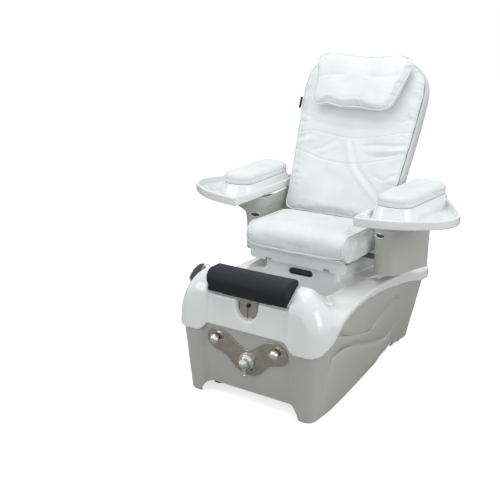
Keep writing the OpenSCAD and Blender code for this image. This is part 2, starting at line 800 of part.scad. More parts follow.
module column_solid(inset, drop) {
    for (i = [0 : len(column_slices) - 2]) hull() {
        translate([0, 0, -drop]) column_slice(column_slices[i], inset);
        translate([0, 0, -drop]) column_slice(column_slices[i + 1], inset);
    }
}

module arm_column() {
    difference() {
        intersection() {
            column_solid(0, 0);
            translate([250, 540, 300]) cube([340, 500, tray_z - 0.3 - 300]);
        }
        column_solid(wall, wall);
        translate([250, 500, column_z + 34]) rotate([-4.5, 0, 0]) translate([0, 0, -60]) cube([300, 560, 60]);
        for (y = [660, 820]) translate([260, y - 14, frame_z - 2]) cube([60, 28, 20]);
        translate([322, 570, 728]) rotate([-90, 0, 0]) cylinder(h = 40, d = 24.2);
        translate([240, 866, 698]) cube([320, 130, 100]);
    }
    difference() {
        both_posts();
        rod_along_x(280, 460, arm_pivot[1], arm_pivot[2], arm_pin_d + run_fit);
    }
}

// Two posts that hold the arm hinge pin
module both_posts() {
    for (x = [308, 394]) {
        translate([x, 885.5, 688]) cube([10, 21, arm_pivot[2] - 688]);
        rod_along_x(x, x + 10, arm_pivot[1], arm_pivot[2], 21);
    }
    translate([308, 885.5, 680]) cube([96, 21, 8.1]);
}

module arm_column_right() {
    color("#b9bcb9") place() arm_column();
}

module arm_column_left() {
    color("#b9bcb9") place() mirror([1, 0, 0]) arm_column();
}

// Oval push button with a ring, in the nose of a column
module arm_latch() {
    translate([322, 583, 728]) rotate([-90, 0, 0]) {
        cylinder(h = 26, d = 24);
        translate([0, 0, -6]) cylinder(h = 6.1, d = 20);
    }
}

module arm_latch_right() {
    color("#9fa6aa") place() arm_latch();
}

module arm_latch_left() {
    color("#9fa6aa") place() mirror([1, 0, 0]) arm_latch();
}

module arm_hinge_pins() {
    color("#a9adb0") place() both_sides()
        rod_along_x(300, 412, arm_pivot[1], arm_pivot[2], arm_pin_d);
}

// Tray plan: straight inner edge, bowed front, round outer end, swept rear
function tray_plan() = concat(
    [[286, 384]],
    [for (u = [20 : 30 : 230]) [286 + u, 375 + 0.05 * u + 0.00095 * u * u]],
    [for (a = [-48 : 14 : 36]) [508 + 150 * cos(a), 618 + 150 * sin(a)]],
    [[606, 742], [572, 806], [532, 872], [486, 928], [420, 962], [340, 962], [294, 930]]);

module tray_outline(inset) {
    offset(delta = -inset) polygon(tray_plan());
}

pad_at = [407, 724];
function pad_ring(z, grow, hx = 82, hy = 214) = [for (p = round_rect(hx + grow, hy + grow, 62 + grow, 6))
    [pad_at[0] + p[0] + 12 * (p[1] / hy), pad_at[1] + p[1], z]];

module tray() {
    difference() {
        translate([0, 0, tray_z]) linear_extrude(tray_rim_h) tray_outline(0);
        translate([0, 0, tray_z + 8]) linear_extrude(tray_rim_h) tray_outline(tray_rim_w);
    }
    loft([pad_ring(tray_z + 7.9, 22), pad_ring(tray_z + 22, 16), pad_ring(plateau_z - 12, 6),
        pad_ring(plateau_z, 2)]);
    difference() {
        union() {
            translate([330, arm_pivot[1] - 10, arm_pivot[2]]) cube([52, 20, tray_z - arm_pivot[2] + 0.1]);
            rod_along_x(330, 382, arm_pivot[1], arm_pivot[2], 20);
        }
        rod_along_x(280, 460, arm_pivot[1], arm_pivot[2], arm_pin_d + run_fit);
    }
}

module tray_right() {
    color("#eef0f1") place() tray();
}

module tray_left() {
    color("#eef0f1") place() mirror([1, 0, 0]) tray();
}

module arm_pad() {
    loft([pad_ring(plateau_z + 0.2, -6), pad_ring(plateau_z + 6, 0), pad_ring(plateau_z + 26, 0),
        pad_ring(plateau_z + 40, -7), pad_ring(plateau_z + 49, -22), pad_ring(plateau_z + 53, -46)]);
}

module arm_pad_right() {
    color("#f1f3f3") place() arm_pad();
}

module arm_pad_left() {
    color("#f1f3f3") place() mirror([1, 0, 0]) arm_pad();
}

// ---------- recline drive ----------

module recline_actuator() {
    color("#3c4043") place() difference() {
        union() {
            rod_along_y(actuator_x, 640, 790, rod_z, 26);
            rod_along_y(actuator_x, 575, 640.1, rod_z, 34);
            translate([actuator_x - 10, 597, rod_z + 10]) cube([20, 26, frame_z - rod_z - 10.1]);
        }
        rod_along_y(actuator_x, 660, 800, rod_z, 16 + run_fit);
    }
}

module recline_rod() {
    color("#c4c8cb") place() {
        rod_along_y(actuator_x, 730, rod_y - 6, rod_z, 16);
        translate([actuator_x - 8, rod_y - 10, rod_z - 8]) cube([16, 20, 16]);
        rod_along_x(actuator_x - 20, actuator_x + 8, rod_y, rod_z, 10);
    }
}

module back_hinge_pins() {
    color("#a9adb0") place() both_sides()
        rod_along_x(112, 160, back_pivot[1], back_pivot[2], hinge_pin_d);
}

// ---------- back ----------

module back_frame() {
    color("#787c80") place() {
        on_back() {
            both_sides() {
                translate([190, 104, -36]) cylinder(h = 700, d = 26);
                translate([115, 104, 60]) cylinder(h = 540, d = 16);
            }
            for (z = [24, 620]) rod_along_x(-190, 190, 104, z, 24);
        }
        both_sides() {
            difference() {
                hull() {
                    rod_along_x(143.5, 152, back_pivot[1], back_pivot[2], 40);
                    on_back() translate([143.5, 94, 20]) cube([8.5, 20, 20]);
                }
                rod_along_x(100, 200, back_pivot[1], back_pivot[2], hinge_pin_d + run_fit);
            }
        }
        difference() {
            union() {
                hull() {
                    rod_along_x(actuator_x - 18, actuator_x - 10, back_pivot[1], back_pivot[2], 30);
                    rod_along_x(actuator_x - 18, actuator_x - 10, rod_y, rod_z, 26);
                }
                hull() {
                    rod_along_x(actuator_x - 18, actuator_x - 10, back_pivot[1], back_pivot[2], 30);
                    on_back() translate([actuator_x - 18, 94, 14]) cube([8, 20, 20]);
                }
            }
            hull() for (k = [-7, 7])
                rod_along_x(actuator_x - 30, actuator_x, rod_y + k * sin(lever_lead),
                    rod_z - k * cos(lever_lead), 10.8);
        }
    }
}

// Ring of the back across at height s: flat rear, crowned front
function back_ring(s, grow, depth, front) =
    let (w = smooth(back_w, s) + grow)
    concat([for (k = [-6 : 6]) let (u = sin(90 * k / 6)) [w * u, front + depth * 0.32 * pow(abs(u), 4), s]],
           [[w * 0.985, depth - 8, s], [w * 0.95, depth, s], [-w * 0.95, depth, s], [-w * 0.985, depth - 8, s]]);

module back_cushion() {
    rows = [0, 6, 20, 80, 150, 250, 350, 450, 550, 640, 690, 725, 748, 765];
    color("#edf1f1") place() on_back() loft([for (s = rows)
        let (e = pow(abs(s - 382.5) / 382.5, 14))
        [for (p = back_ring(s * back_len / 765, 0, back_thick, 0)) [p[0], mix(p[1], 16, 0.7 * e), p[2]]]]);
}

// Deep bowed tray behind the cushion
module shell_loft(rows, inset, depth, front) {
    loft([for (s = rows) let (w = smooth(back_w, s) - inset, d = depth - 30 * pow(abs(s - 300) / 440, 4))
        [for (k = [0 : 14]) let (a = 180 * k / 14, u = cos(a), v = sin(a))
            [w * sign(u) * pow(abs(u), 0.38), front + (d - front) * pow(v, 0.5), s]]]);
}

module back_shell() {
    rows = [10, 60, 200, 350, 500, 640, 700, 736, 752];
    color("#b5babb") place() on_back() difference() {
        shell_loft(rows, 4, shell_depth, back_thick + 0.4);
        shell_loft([9, 60, 200, 350, 500, 640, 700, 736, 746], 10, shell_depth - wall, back_thick);
    }
}

module pull_tab() {
    color("#1d2023") place() on_back() translate([-313, -4, 502]) cube([4, 20, 56]);
}

module head_pillow() {
    rows = [498, 504, 520, 560, 620, 680, 730, 765, 783, 790];
    color("#f0f3f3") place() on_back() loft([for (s = rows)
        let (w = smooth(pillow_w, s), e = pow(abs(s - 644) / 146, 8))
        [for (k = [0 : 19]) let (a = 360 * k / 20, u = cos(a), v = sin(a),
            x = w * sign(u) * pow(abs(u), 0.55), seam = mix(-62, -26, (s - 498) / 292),
            y = seam + (v > 0 ? -0.6 - seam : 26) * sign(v) * pow(abs(v), 0.8) * (1 - 0.5 * e))
            [x, y, s - 12 * e * (s > 644 ? 1 : 0) * (1 - pow(x / w, 2))]]]);
}

// ---------- massage drive ----------

module massage_motor() {
    color("#3a3e41") place() on_back() difference() {
        translate([-26, 88, 36.1]) union() {
            cube([52, 40, 40]);
            translate([26, 20, 39.9]) cylinder(h = 8, d = 24);
        }
        translate([0, 108, 60]) cylinder(h = 60, d = 12 + run_fit);
    }
}

module massage_screw() {
    color("#b4b8bb") place() on_back() translate([0, 108, 66]) cylinder(h = 530, d = 12);
}

module massage_carriage() {
    color("#55595c") place() on_back() translate([0, 0, massage_s]) difference() {
        union() {
            translate([-128, 94, -22]) cube([256, 24, 44]);
            both_sides() translate([66, 46, -12]) cube([10, 48.1, 24]);
        }
        for (x = [-115, 115]) translate([x, 104, -30]) cylinder(h = 60, d = 16 + run_fit);
        translate([0, 108, -30]) cylinder(h = 60, d = 12 + run_fit);
        rod_along_x(-100, 100, 58, 0, 10 + run_fit);
    }
}

module massage_rollers() {
    color("#2a2c2e") place() on_back() translate([0, 58, massage_s]) {
        rod_along_x(-99, 99, 0, 0, 10);
        both_sides() for (x = [38, 77]) rod_along_x(x, x + 27, 0, 0, 50);
    }
}

base_skirt();
tub_shell();
chassis_frame();
floor_pads();
waterfall_outlet();
jet_nozzles();
drain_body();
drain_plug();
circulation_pump();
pump_pipes();
control_box();
rear_inlets();
faucet_plate();
mixer_valves();
hot_knob();
cold_knob();
diverter_hub();
diverter_lever();
shower_dock();
hand_shower();
footrest_guide();
footrest_slider();
footrest_pad();
footrest_screw();
slide_rails();
slide_motor();
lead_screw();
front_bearing();
seat_frame();
screw_nut();
seat_board();
seat_cushion();
seat_apron();
arm_column_left();
arm_column_right();
arm_latch_left();
arm_latch_right();
arm_hinge_pins();
tray_left();
tray_right();
arm_pad_left();
arm_pad_right();
recline_actuator();
recline_rod();
back_hinge_pins();
back_frame();
back_shell();
back_cushion();
pull_tab();
head_pillow();
massage_motor();
massage_screw();
massage_carriage();
massage_rollers();
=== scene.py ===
"""Dressed model of a pedicure spa chair, built round its CAD frame.

Every shape is written in millimetres in the chair's own frame: x across the
chair, y from the tub front to the rear, z up from the floor.
"""

from __future__ import annotations

import json
import logging
from dataclasses import dataclass
from enum import Enum
from math import atan2, copysign, cos, exp, hypot, pi, radians, sin, sqrt, tan
from typing import Callable, Iterable, Sequence

import bmesh
import bpy
from bmesh.types import BMFace, BMVert
from bpy.types import Material, Node, NodeSocket, Object
from mathutils import Matrix, Vector, kdtree, noise

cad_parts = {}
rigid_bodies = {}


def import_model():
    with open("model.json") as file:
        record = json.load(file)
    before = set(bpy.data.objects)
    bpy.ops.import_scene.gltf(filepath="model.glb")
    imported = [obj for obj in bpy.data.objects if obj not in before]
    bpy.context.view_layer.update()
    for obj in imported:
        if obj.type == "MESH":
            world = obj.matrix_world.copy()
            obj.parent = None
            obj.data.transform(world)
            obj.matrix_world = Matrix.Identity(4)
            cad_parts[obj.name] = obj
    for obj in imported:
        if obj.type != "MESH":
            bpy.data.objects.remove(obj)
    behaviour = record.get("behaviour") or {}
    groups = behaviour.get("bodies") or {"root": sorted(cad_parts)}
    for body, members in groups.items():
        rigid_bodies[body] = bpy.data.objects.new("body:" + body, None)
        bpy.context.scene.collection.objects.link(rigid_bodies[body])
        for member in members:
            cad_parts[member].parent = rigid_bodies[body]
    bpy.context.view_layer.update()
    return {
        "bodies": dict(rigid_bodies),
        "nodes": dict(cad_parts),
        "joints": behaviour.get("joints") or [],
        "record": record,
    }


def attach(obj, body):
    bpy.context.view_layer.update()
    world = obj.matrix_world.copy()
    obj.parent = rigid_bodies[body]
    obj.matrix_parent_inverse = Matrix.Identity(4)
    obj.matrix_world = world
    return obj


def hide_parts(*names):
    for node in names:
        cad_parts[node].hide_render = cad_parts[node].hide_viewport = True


LOG = logging.getLogger("spa_chair")

# One millimetre in metres.
MM = 0.001
# The chair's y that lies over the origin of the shared frame.
MID_Y = 598.8
# Foot of the back cushion's front skin, and how far the back leans in degrees.
BACK_FOOT = (0.0, 765.0, 682.0)
BACK_LEAN = 23.5
# Middle of the faucet plate, and how far its plane leans forwards in degrees.
FACE_AT = (0.0, 41.0, 214.0)
FACE_LEAN = 6.6

# How far the tub's lip drops below its front panel, outwards from the recess.
LIP_STEP = ((66, 41), (48, 40), (34, 36), (22, 29), (12, 20), (5, 10), (0, 2), (-8, 0))

Point = tuple[float, float, float]
Pair = tuple[float, float]
Plan = list[Pair]
Rows = tuple[Pair, ...]


class Body(str, Enum):
    """CAD bodies that the visible pieces ride on."""

    BASE = "base"
    HOT = "hot_knob"
    COLD = "cold_knob"
    DIVERTER = "diverter"
    SHOWER = "hand_shower"
    FOOTREST = "footrest"
    FOOTREST_SCREW = "footrest_screw"
    SEAT = "seat"
    ARM_LEFT = "arm_left"
    ARM_RIGHT = "arm_right"
    LATCH_LEFT = "latch_left"
    LATCH_RIGHT = "latch_right"
    BACK = "back"
    PILLOW = "head_pillow"


# ---------------------------------------------------------------- geometry


@dataclass(frozen=True)
class Curve:
    """Smooth value along a table of (station, value) rows."""

    rows: Rows

    def _slope(self, i: int) -> float:
        """Returns the slope at row i, taken from the rows beside it."""
        a, b = max(0, i - 1), min(len(self.rows) - 1, i + 1)
        return (self.rows[b][1] - self.rows[a][1]) / (self.rows[b][0] - self.rows[a][0])

    def __call__(self, u: float) -> float:
        """Returns the value at station u, by a cubic between the rows round it."""
        i = 0
        while i < len(self.rows) - 2 and u >= self.rows[i + 1][0]:
            i += 1
        (u0, a), (u1, b) = self.rows[i], self.rows[i + 1]
        h = u1 - u0
        t = max(0.0, min(1.0, (u - u0) / h))
        return (
            a * (1 + 2 * t) * (1 - t) ** 2
            + b * t * t * (3 - 2 * t)
            + h * self._slope(i) * t * (1 - t) ** 2
            - h * self._slope(i + 1) * t * t * (1 - t)
        )


def curve(*rows: Pair) -> Curve:
    """Returns the smooth curve through the rows."""
    return Curve(tuple(rows))


def mix(a: float, b: float, t: float) -> float:
    """Returns the value a share t of the way from a to b."""
    return a + (b - a) * t


def steps(a: float, b: float, n: int) -> list[float]:
    """Returns n + 1 even values from a to b."""
    return [mix(a, b, k / n) for k in range(n + 1)]


def turn_steps(n: int) -> list[float]:
    """Returns n even angles round a full turn."""
    return steps(0, 2 * pi, n)[:-1]


def chair(x: float, y: float, z: float) -> Vector:
    """Returns a point of the chair's millimetre frame in the shared frame."""
    return Vector((x * MM, (y - MID_Y) * MM, z * MM))


def back_place(point: Vector) -> tuple[float, float, float]:
    """Returns how far a point of the shared frame is across, through and along the back."""
    lean = radians(BACK_LEAN)
    y = point.y / MM + MID_Y - BACK_FOOT[1]
    z = point.z / MM - BACK_FOOT[2]
    return point.x / MM, y * cos(lean) - z * sin(lean), y * sin(lean) + z * cos(lean)


def on_back(x: float, y: float, s: float) -> Vector:
    """Returns a point given across, through and along the leaning back."""
    lean = radians(BACK_LEAN)
    return chair(
        x,
        BACK_FOOT[1] + y * cos(lean) + s * sin(lean),
        BACK_FOOT[2] - y * sin(lean) + s * cos(lean),
    )


def on_face(x: float, y: float, z: float) -> Vector:
    """Returns a point given across, through and up the plane of the faucet plate."""
    lean = radians(FACE_LEAN)
    return chair(
        x,
        FACE_AT[1] + y * cos(lean) - z * sin(lean),
        FACE_AT[2] + y * sin(lean) + z * cos(lean),
    )


def standing(u: float, v: float, w: float) -> Vector:
    """Returns a point u across and v up a plan that stands upright at depth w."""
    return chair(u, w, v)


def signed_power(u: float, k: float) -> float:
    """Returns |u| to the power k with the sign of u."""
    return copysign(abs(u) ** k, u)


def corner_cut(points: Plan, rounds: int, closed: bool = True) -> Plan:
    """Rounds an outline by cutting its corners.

    Args:
        points: the outline's corners.
        rounds: how many times the corners are cut.
        closed: whether the last point joins the first.

    Returns:
        The rounded outline.
    """
    for _ in range(rounds):
        n = len(points)
        cut: Plan = [] if closed else [points[0]]
        for i in range(n if closed else n - 1):
            a, b = points[i], points[(i + 1) % n]
            cut += [tuple(mix(p, q, t) for p, q in zip(a, b)) for t in (0.25, 0.75)]
        points = cut if closed else cut + [points[-1]]
    return points


def even_points(points: Sequence[Sequence[float]], n: int, closed: bool = True) -> list[Vector]:
    """Spaces n points evenly along an outline.

    Args:
        points: the outline, in two or three dimensions.
        n: number of points wanted.
        closed: whether the last point joins the first.

    Returns:
        The points as vectors.
    """
    path = [Vector(p) for p in points]
    if closed:
        path.append(path[0])
    run = [0.0]
    for a, b in zip(path, path[1:]):
        run.append(run[-1] + (b - a).length)
    total, found, i = run[-1], [], 0
    for k in range(n):
        s = total * k / (n if closed else n - 1)
        while i < len(run) - 2 and run[i + 1] < s:
            i += 1
        t = (s - run[i]) / max(1e-9, run[i + 1] - run[i])
        found.append(path[i].lerp(path[i + 1], min(1.0, t)))
    return found


def inset_plan(points: Sequence[Vector], d: float) -> list[Vector]:
    """Moves a counterclockwise outline inwards by d along its normals."""
    n, moved = len(points), []
    for i, p in enumerate(points):
        v = (points[(i + 1) % n] - points[i - 1]).normalized()
        moved.append(p + Vector((-v.y, v.x)) * d)
    return moved


def round_rect(hx: float, hy: float, r: float, n: int = 10) -> Plan:
    """Returns a rounded rectangle of half sizes hx, hy with n steps a corner."""
    found: Plan = []
    for cx, cy, turn in ((1, 1, 0), (-1, 1, 90), (-1, -1, 180), (1, -1, 270)):
        for k in range(n + 1):
            a = radians(turn + 90 * k / n)
            found.append((cx * (hx - r) + r * cos(a), cy * (hy - r) + r * sin(a)))
    return found


def hull_outline(circles: Sequence[tuple[float, float, float]], n: int) -> list[Vector]:
    """Returns the outline round (x, y, radius) circles, as n even points from the front."""
    found = []
    for k in range(720):
        a = radians(-90 + k / 2)
        nx, ny = cos(a), sin(a)
        x, y, r = max(circles, key=lambda c: c[0] * nx + c[1] * ny + c[2])
        found.append((x + r * nx, y + r * ny))
    return even_points(found, n)


# ------------------------------------------------------------------ meshes


class Shape:
    """A bmesh that grows by operators and ends as a named object."""

    def __init__(self) -> None:
        """Starts with an empty bmesh."""
        self.bm = bmesh.new()

    def ring(self, points: Iterable[Vector], closed: bool = True) -> list[BMVert]:
        """Adds a ring of edges through the points and returns its vertices."""
        verts = [self.bm.verts.new(p) for p in points]
        n = len(verts)
        for i in range(n if closed else n - 1):
            self.bm.edges.new((verts[i], verts[(i + 1) % n]))
        return verts

    def loft(
        self,
        rings: Sequence[Sequence[Vector]],
        closed: bool = True,
        caps: tuple[bool, bool] = (True, True),
    ) -> "Shape":
        """Extrudes a first ring through all the others.

        Args:
            rings: rings with the same number of points each.
            closed: whether each ring closes on itself.
            caps: whether the first and the last ring are filled.

        Returns:
            The shape itself.
        """
        verts = self.ring(rings[0], closed)
        first = verts
        for ring in rings[1:]:
            n = len(verts)
            edges = [self.bm.edges.get((verts[i], verts[(i + 1) % n])) for i in range(n if closed else n - 1)]
            grown = bmesh.ops.extrude_edge_only(self.bm, edges=edges)["geom"]
            fresh = {g for g in grown if isinstance(g, BMVert)}
            verts = [next(e.other_vert(v) for e in v.link_edges if e.other_vert(v) in fresh) for v in verts]
            for v, p in zip(verts, ring):
                v.co = p
        for wanted, loop in zip(caps, (first, verts)):
            if wanted and closed:
                n = len(loop)
                edges = [self.bm.edges.get((loop[i], loop[(i + 1) % n])) for i in range(n)]
                bmesh.ops.edgeloop_fill(self.bm, edges=edges)
        return self

    def block(self, low: Point, high: Point) -> "Shape":
        """Adds an upright box between two corners of the chair's frame."""
        a, b = chair(*low), chair(*high)
        size = Matrix.Diagonal((b - a).to_4d())
        size[3][3] = 1
        bmesh.ops.create_cube(self.bm, size=1, matrix=Matrix.Translation((a + b) / 2) @ size)
        return self

    def prism(self, plan: Sequence[Sequence[float]], to_frame: Callable[[float, float, float], Vector],
              low: float, high: float) -> "Shape":
        """Adds a straight prism of a plan between two levels of its own frame."""
        return self.loft([[to_frame(p[0], p[1], w) for p in plan] for w in (low, high)])

    def tube(self, path: Sequence[Vector], radius: float, sides: int = 10, closed: bool = False) -> "Shape":
        """Adds a round tube along a path, radius in metres."""
        n = len(path)
        rings, normal = [], Vector((0, 0, 1))
        for i, p in enumerate(path):
            ahead = path[(i + 1) % n] if closed or i < n - 1 else p
            behind = path[i - 1] if closed or i > 0 else p
            along = (ahead - behind).normalized()
            if abs(along.dot(normal)) > 0.98:
                normal = Vector((0, 1, 0)) if abs(along.y) < 0.9 else Vector((1, 0, 0))
            normal = (normal - along * normal.dot(along)).normalized()
            side = along.cross(normal)
            rings.append([
                p + (normal * cos(a) + side * sin(a)) * radius
                for a in turn_steps(sides)
            ])
        if closed:
            rings.append(rings[0])
        self.loft(rings, caps=(not closed, not closed))
        if closed:
            bmesh.ops.remove_doubles(self.bm, verts=self.bm.verts, dist=1e-6)
        return self

    def turned(self, profile: Sequence[Pair], to_frame: Matrix, n: int = 64) -> "Shape":
        """Spins a (radius, height) profile in millimetres about its own z axis."""
        verts = [self.bm.verts.new(Vector((r, 0, z)) * MM) for r, z in profile]
        edges = [self.bm.edges.new(pair) for pair in zip(verts, verts[1:])]
        bmesh.ops.spin(
            self.bm, geom=verts + edges, cent=(0, 0, 0), axis=(0, 0, 1), angle=2 * pi,
            steps=n, use_merge=True,
        )
        bmesh.ops.remove_doubles(self.bm, verts=self.bm.verts, dist=1e-6)
        bmesh.ops.transform(self.bm, matrix=to_frame, verts=self.bm.verts)
        return self

    def mirrored(self) -> "Shape":
        """Turns the shape into its mirror image across the chair."""
        bmesh.ops.scale(self.bm, vec=(-1, 1, 1), verts=self.bm.verts)
        bmesh.ops.reverse_faces(self.bm, faces=self.bm.faces)
        return self

    def relax(self, times: int, factor: float = 0.5) -> "Shape":
        """Smooths all the vertices a number of times."""
        for _ in range(times):
            bmesh.ops.smooth_vert(
                self.bm, verts=self.bm.verts, factor=factor,
                use_axis_x=True, use_axis_y=True, use_axis_z=True,
            )
        return self

    def displace(self, offset: Callable[[Vector, Vector], float]) -> "Shape":
        """Moves each vertex along its normal by offset(place, normal) metres."""
        self.bm.normal_update()
        moves = [(v, v.normal.copy(), offset(v.co, v.normal)) for v in self.bm.verts]
        for v, normal, d in moves:
            v.co += normal * d
        return self

    def drop(self, unwanted: Callable[[BMFace], bool]) -> "Shape":
        """Deletes the faces that unwanted() picks, with what they leave loose."""
        self.bm.normal_update()
        faces = [f for f in self.bm.faces if unwanted(f)]
        bmesh.ops.delete(self.bm, geom=faces, context="FACES")
        return self

    def main_island(self) -> "Shape":
        """Keeps only the largest connected part."""
        left, best = set(self.bm.verts), set()
        while left:
            island, front = set(), [next(iter(left))]
            while front:
                v = front.pop()
                if v in island:
                    continue
                island.add(v)
                front += [e.other_vert(v) for e in v.link_edges]
            left -= island
            best = max(best, island, key=len)
        bmesh.ops.delete(self.bm, geom=[v for v in self.bm.verts if v not in best], context="VERTS")
        return self

    def outward(self) -> "Shape":
        """Turns all the faces of the closed shape outwards."""
        bmesh.ops.recalc_face_normals(self.bm, faces=self.bm.faces)
        return self

    def done(self, name: str) -> Object:
        """Returns the shape as a linked object."""
        mesh = bpy.data.meshes.new(name)
        self.bm.to_mesh(mesh)
        self.bm.free()
        obj = bpy.data.objects.new(name, mesh)
        bpy.context.scene.collection.objects.link(obj)
        return smoothed(obj)

    def cutter(self) -> Object:
        """Returns the shape as a closed object for a boolean."""
        return self.outward().done("cutter")


def smoothed(obj: Object) -> Object:
    """Shades all the faces of an object smooth."""
    for polygon in obj.data.polygons:
        polygon.use_smooth = True
    return obj


def settled(obj: Object) -> Object:
    """Makes the modifiers of an object part of its mesh."""
    bpy.context.view_layer.update()
    graph = bpy.context.evaluated_depsgraph_get()
    mesh = bpy.data.meshes.new_from_object(obj.evaluated_get(graph))
    old, obj.data = obj.data, mesh
    obj.modifiers.clear()
    bpy.data.meshes.remove(old)
    return obj


def reopened(obj: Object) -> Shape:
    """Returns the mesh of an object as a shape again and deletes the object."""
    shape = Shape()
    shape.bm.from_mesh(obj.data)
    mesh = obj.data
    bpy.data.objects.remove(obj)
    bpy.data.meshes.remove(mesh)
    return shape


def combine(obj: Object, cutters: Sequence[Object], operation: str) -> Object:
    """Joins cutters to an object or cuts them out of it, and deletes them.

    Args:
        obj: the object that changes.
        cutters: closed objects.
        operation: UNION or DIFFERENCE.

    Returns:
        The changed object.
    """
    for cutter in cutters:
        boolean = obj.modifiers.new("cut", "BOOLEAN")
        boolean.operation, boolean.solver, boolean.object = operation, "EXACT", cutter
        settled(obj)
        mesh = cutter.data
        bpy.data.objects.remove(cutter)
        bpy.data.meshes.remove(mesh)
    return obj


def remeshed(obj: Object, voxel: float) -> Object:
    """Rebuilds an object's skin from even faces of about voxel metres."""
    remesh = obj.modifiers.new("skin", "REMESH")
    remesh.mode, remesh.voxel_size, remesh.adaptivity = "VOXEL", voxel, 0.0
    return settled(obj)


def thickened(obj: Object, wall: float) -> Object:
    """Gives a skin its wall in metres, on the side that its faces look away from."""
    solid = obj.modifiers.new("wall", "SOLIDIFY")
    solid.thickness, solid.offset, solid.use_even_offset = wall, -1.0, False
    return smoothed(settled(obj))


def creased(obj: Object, angle: float) -> Object:
    """Shades an object smooth but keeps edges over an angle in degrees sharp."""
    shape = bmesh.new()
    shape.from_mesh(obj.data)
    for edge in shape.edges:
        edge.smooth = edge.calc_face_angle(0.0) < radians(angle)
    for face in shape.faces:
        face.smooth = True
    shape.to_mesh(obj.data)
    shape.free()
    return obj


def softened(frame: dict, node: str, width: float, angle: float) -> Object:
    """Copies a CAD node and rounds the edges of the copy.

    Args:
        frame: the loaded frame.
        node: name of the CAD node.
        width: radius of the rounding, in metres.
        angle: sharpest angle in degrees that is left alone.

    Returns:
        The rounded copy as a new object.
    """
    shape = Shape()
    shape.bm.from_mesh(frame["nodes"][node].data)
    bmesh.ops.remove_doubles(shape.bm, verts=shape.bm.verts, dist=2e-6)
    bmesh.ops.dissolve_limit(
        shape.bm, angle_limit=radians(1.5), verts=shape.bm.verts, edges=shape.bm.edges
    )
    sharp = [e for e in shape.bm.edges if e.calc_face_angle(0.0) > radians(angle)]
    bmesh.ops.bevel(
        shape.bm, geom=sharp, offset=width, offset_type="OFFSET", segments=2,
        profile=0.5, affect="EDGES", clamp_overlap=True, material=-1,
    )
    return creased(shape.done(f"{node}_dressed"), angle)


# -------------------------------------------------------------- soft skins


@dataclass(frozen=True)
class Stuffing:
    """How a cover is swelled by its filling.

    Attributes:
        cap: the most that a point moves, in metres.
        pressure: pressure of the filling on the cloth.
        slack: share by which the cloth is larger than the cover.
        voxel: size of the cloth's faces, in metres.
        frames: steps that the cloth runs for.
    """

    cap: float
    pressure: float
    slack: float
    voxel: float
    frames: int = 20

    def swell(self, obj: Object, held: Callable[[Vector], bool]) -> Object:
        """Swells a cover by a cloth simulation and subdivides it.

        Args:
            obj: the closed cover, a little smaller than the full cushion.
            held: tells which points stay where they are.

        Returns:
            The swelled cover.
        """
        remeshed(obj, self.voxel)
        start = [v.co.copy() for v in obj.data.vertices]
        group = obj.vertex_groups.new(name="held")
        group.add([i for i, p in enumerate(start) if held(p)], 1.0, "REPLACE")
        cloth = obj.modifiers.new("filling", "CLOTH")
        rules = cloth.settings
        rules.quality, rules.mass, rules.air_damping = 6, 0.3, 1.0
        rules.tension_stiffness = rules.compression_stiffness = 15.0
        rules.shear_stiffness, rules.bending_stiffness = 5.0, 0.6
        rules.use_pressure, rules.uniform_pressure_force = True, self.pressure
        rules.shrink_min = -self.slack
        rules.vertex_group_mass = "held"
        rules.effector_weights.gravity = 0.0
        cloth.collision_settings.use_collision = False
        cloth.point_cache.frame_start, cloth.point_cache.frame_end = 1, self.frames
        for frame in range(1, self.frames + 1):
            bpy.context.scene.frame_set(frame)
        settled(obj)
        bpy.context.scene.frame_set(1)
        obj.vertex_groups.clear()
        for v, p in zip(obj.data.vertices, start):
            move = v.co - p
            if move.length > self.cap:
                v.co = p + move.normalized() * self.cap
        finer = obj.modifiers.new("finer", "SUBSURF")
        finer.levels = finer.render_levels = 1
        return settled(obj)


# A fold has FOLD_LEAD / FOLD_FADE of its height at its ends and all of it once it has run
# FOLD_FADE - FOLD_LEAD millimetres.
FOLD_LEAD = 6.0
FOLD_FADE = 30.0
# How fast the puckers of a sewn line follow each other, in radians a millimetre.
PUCKER_PACE = 0.55


@dataclass(frozen=True)
class Fold:
    """Ridge or groove in a leather skin, in millimetres across and up it."""

    path: Rows
    height: float
    width: float
    pucker: float = 0.0

    def __call__(self, u: float, v: float) -> float:
        """Returns the height of the skin at a place, in millimetres."""
        far = 3 * self.width
        if not (min(p[0] for p in self.path) - far < u < max(p[0] for p in self.path) + far):
            return 0.0
        if not (min(p[1] for p in self.path) - far < v < max(p[1] for p in self.path) + far):
            return 0.0
        best, run, at = far, 0.0, 0.0
        for (u0, v0), (u1, v1) in zip(self.path, self.path[1:]):
            length = hypot(u1 - u0, v1 - v0)
            t = max(0.0, min(1.0, ((u - u0) * (u1 - u0) + (v - v0) * (v1 - v0)) / length ** 2))
            away = hypot(u - mix(u0, u1, t), v - mix(v0, v1, t))
            if away < best:
                best, at = away, run + t * length
            run += length
        fade = min(1.0, (min(at, run - at) + FOLD_LEAD) / FOLD_FADE)
        wave = 1 + self.pucker * sin(at * PUCKER_PACE)
        return fade * wave * self.height * exp(-((best / self.width) ** 2))


def fold(height: float, width: float, *path: Pair, pucker: float = 0.0) -> Fold:
    """Returns a fold along a smooth line through the points."""
    return Fold(tuple(corner_cut(list(path), 2, closed=False)), height, width, pucker)


# How a welt draws in the skin beside it, in metres: how far that reaches at most, depth and
# reach of the groove, depth and reach of the puckers, and the gap between marks along the welt.
SEAM_REACH = 0.05
GROOVE = (0.0018, 0.006)
PUCKER = (0.0007, 0.013)
MARK_GAP = 0.006


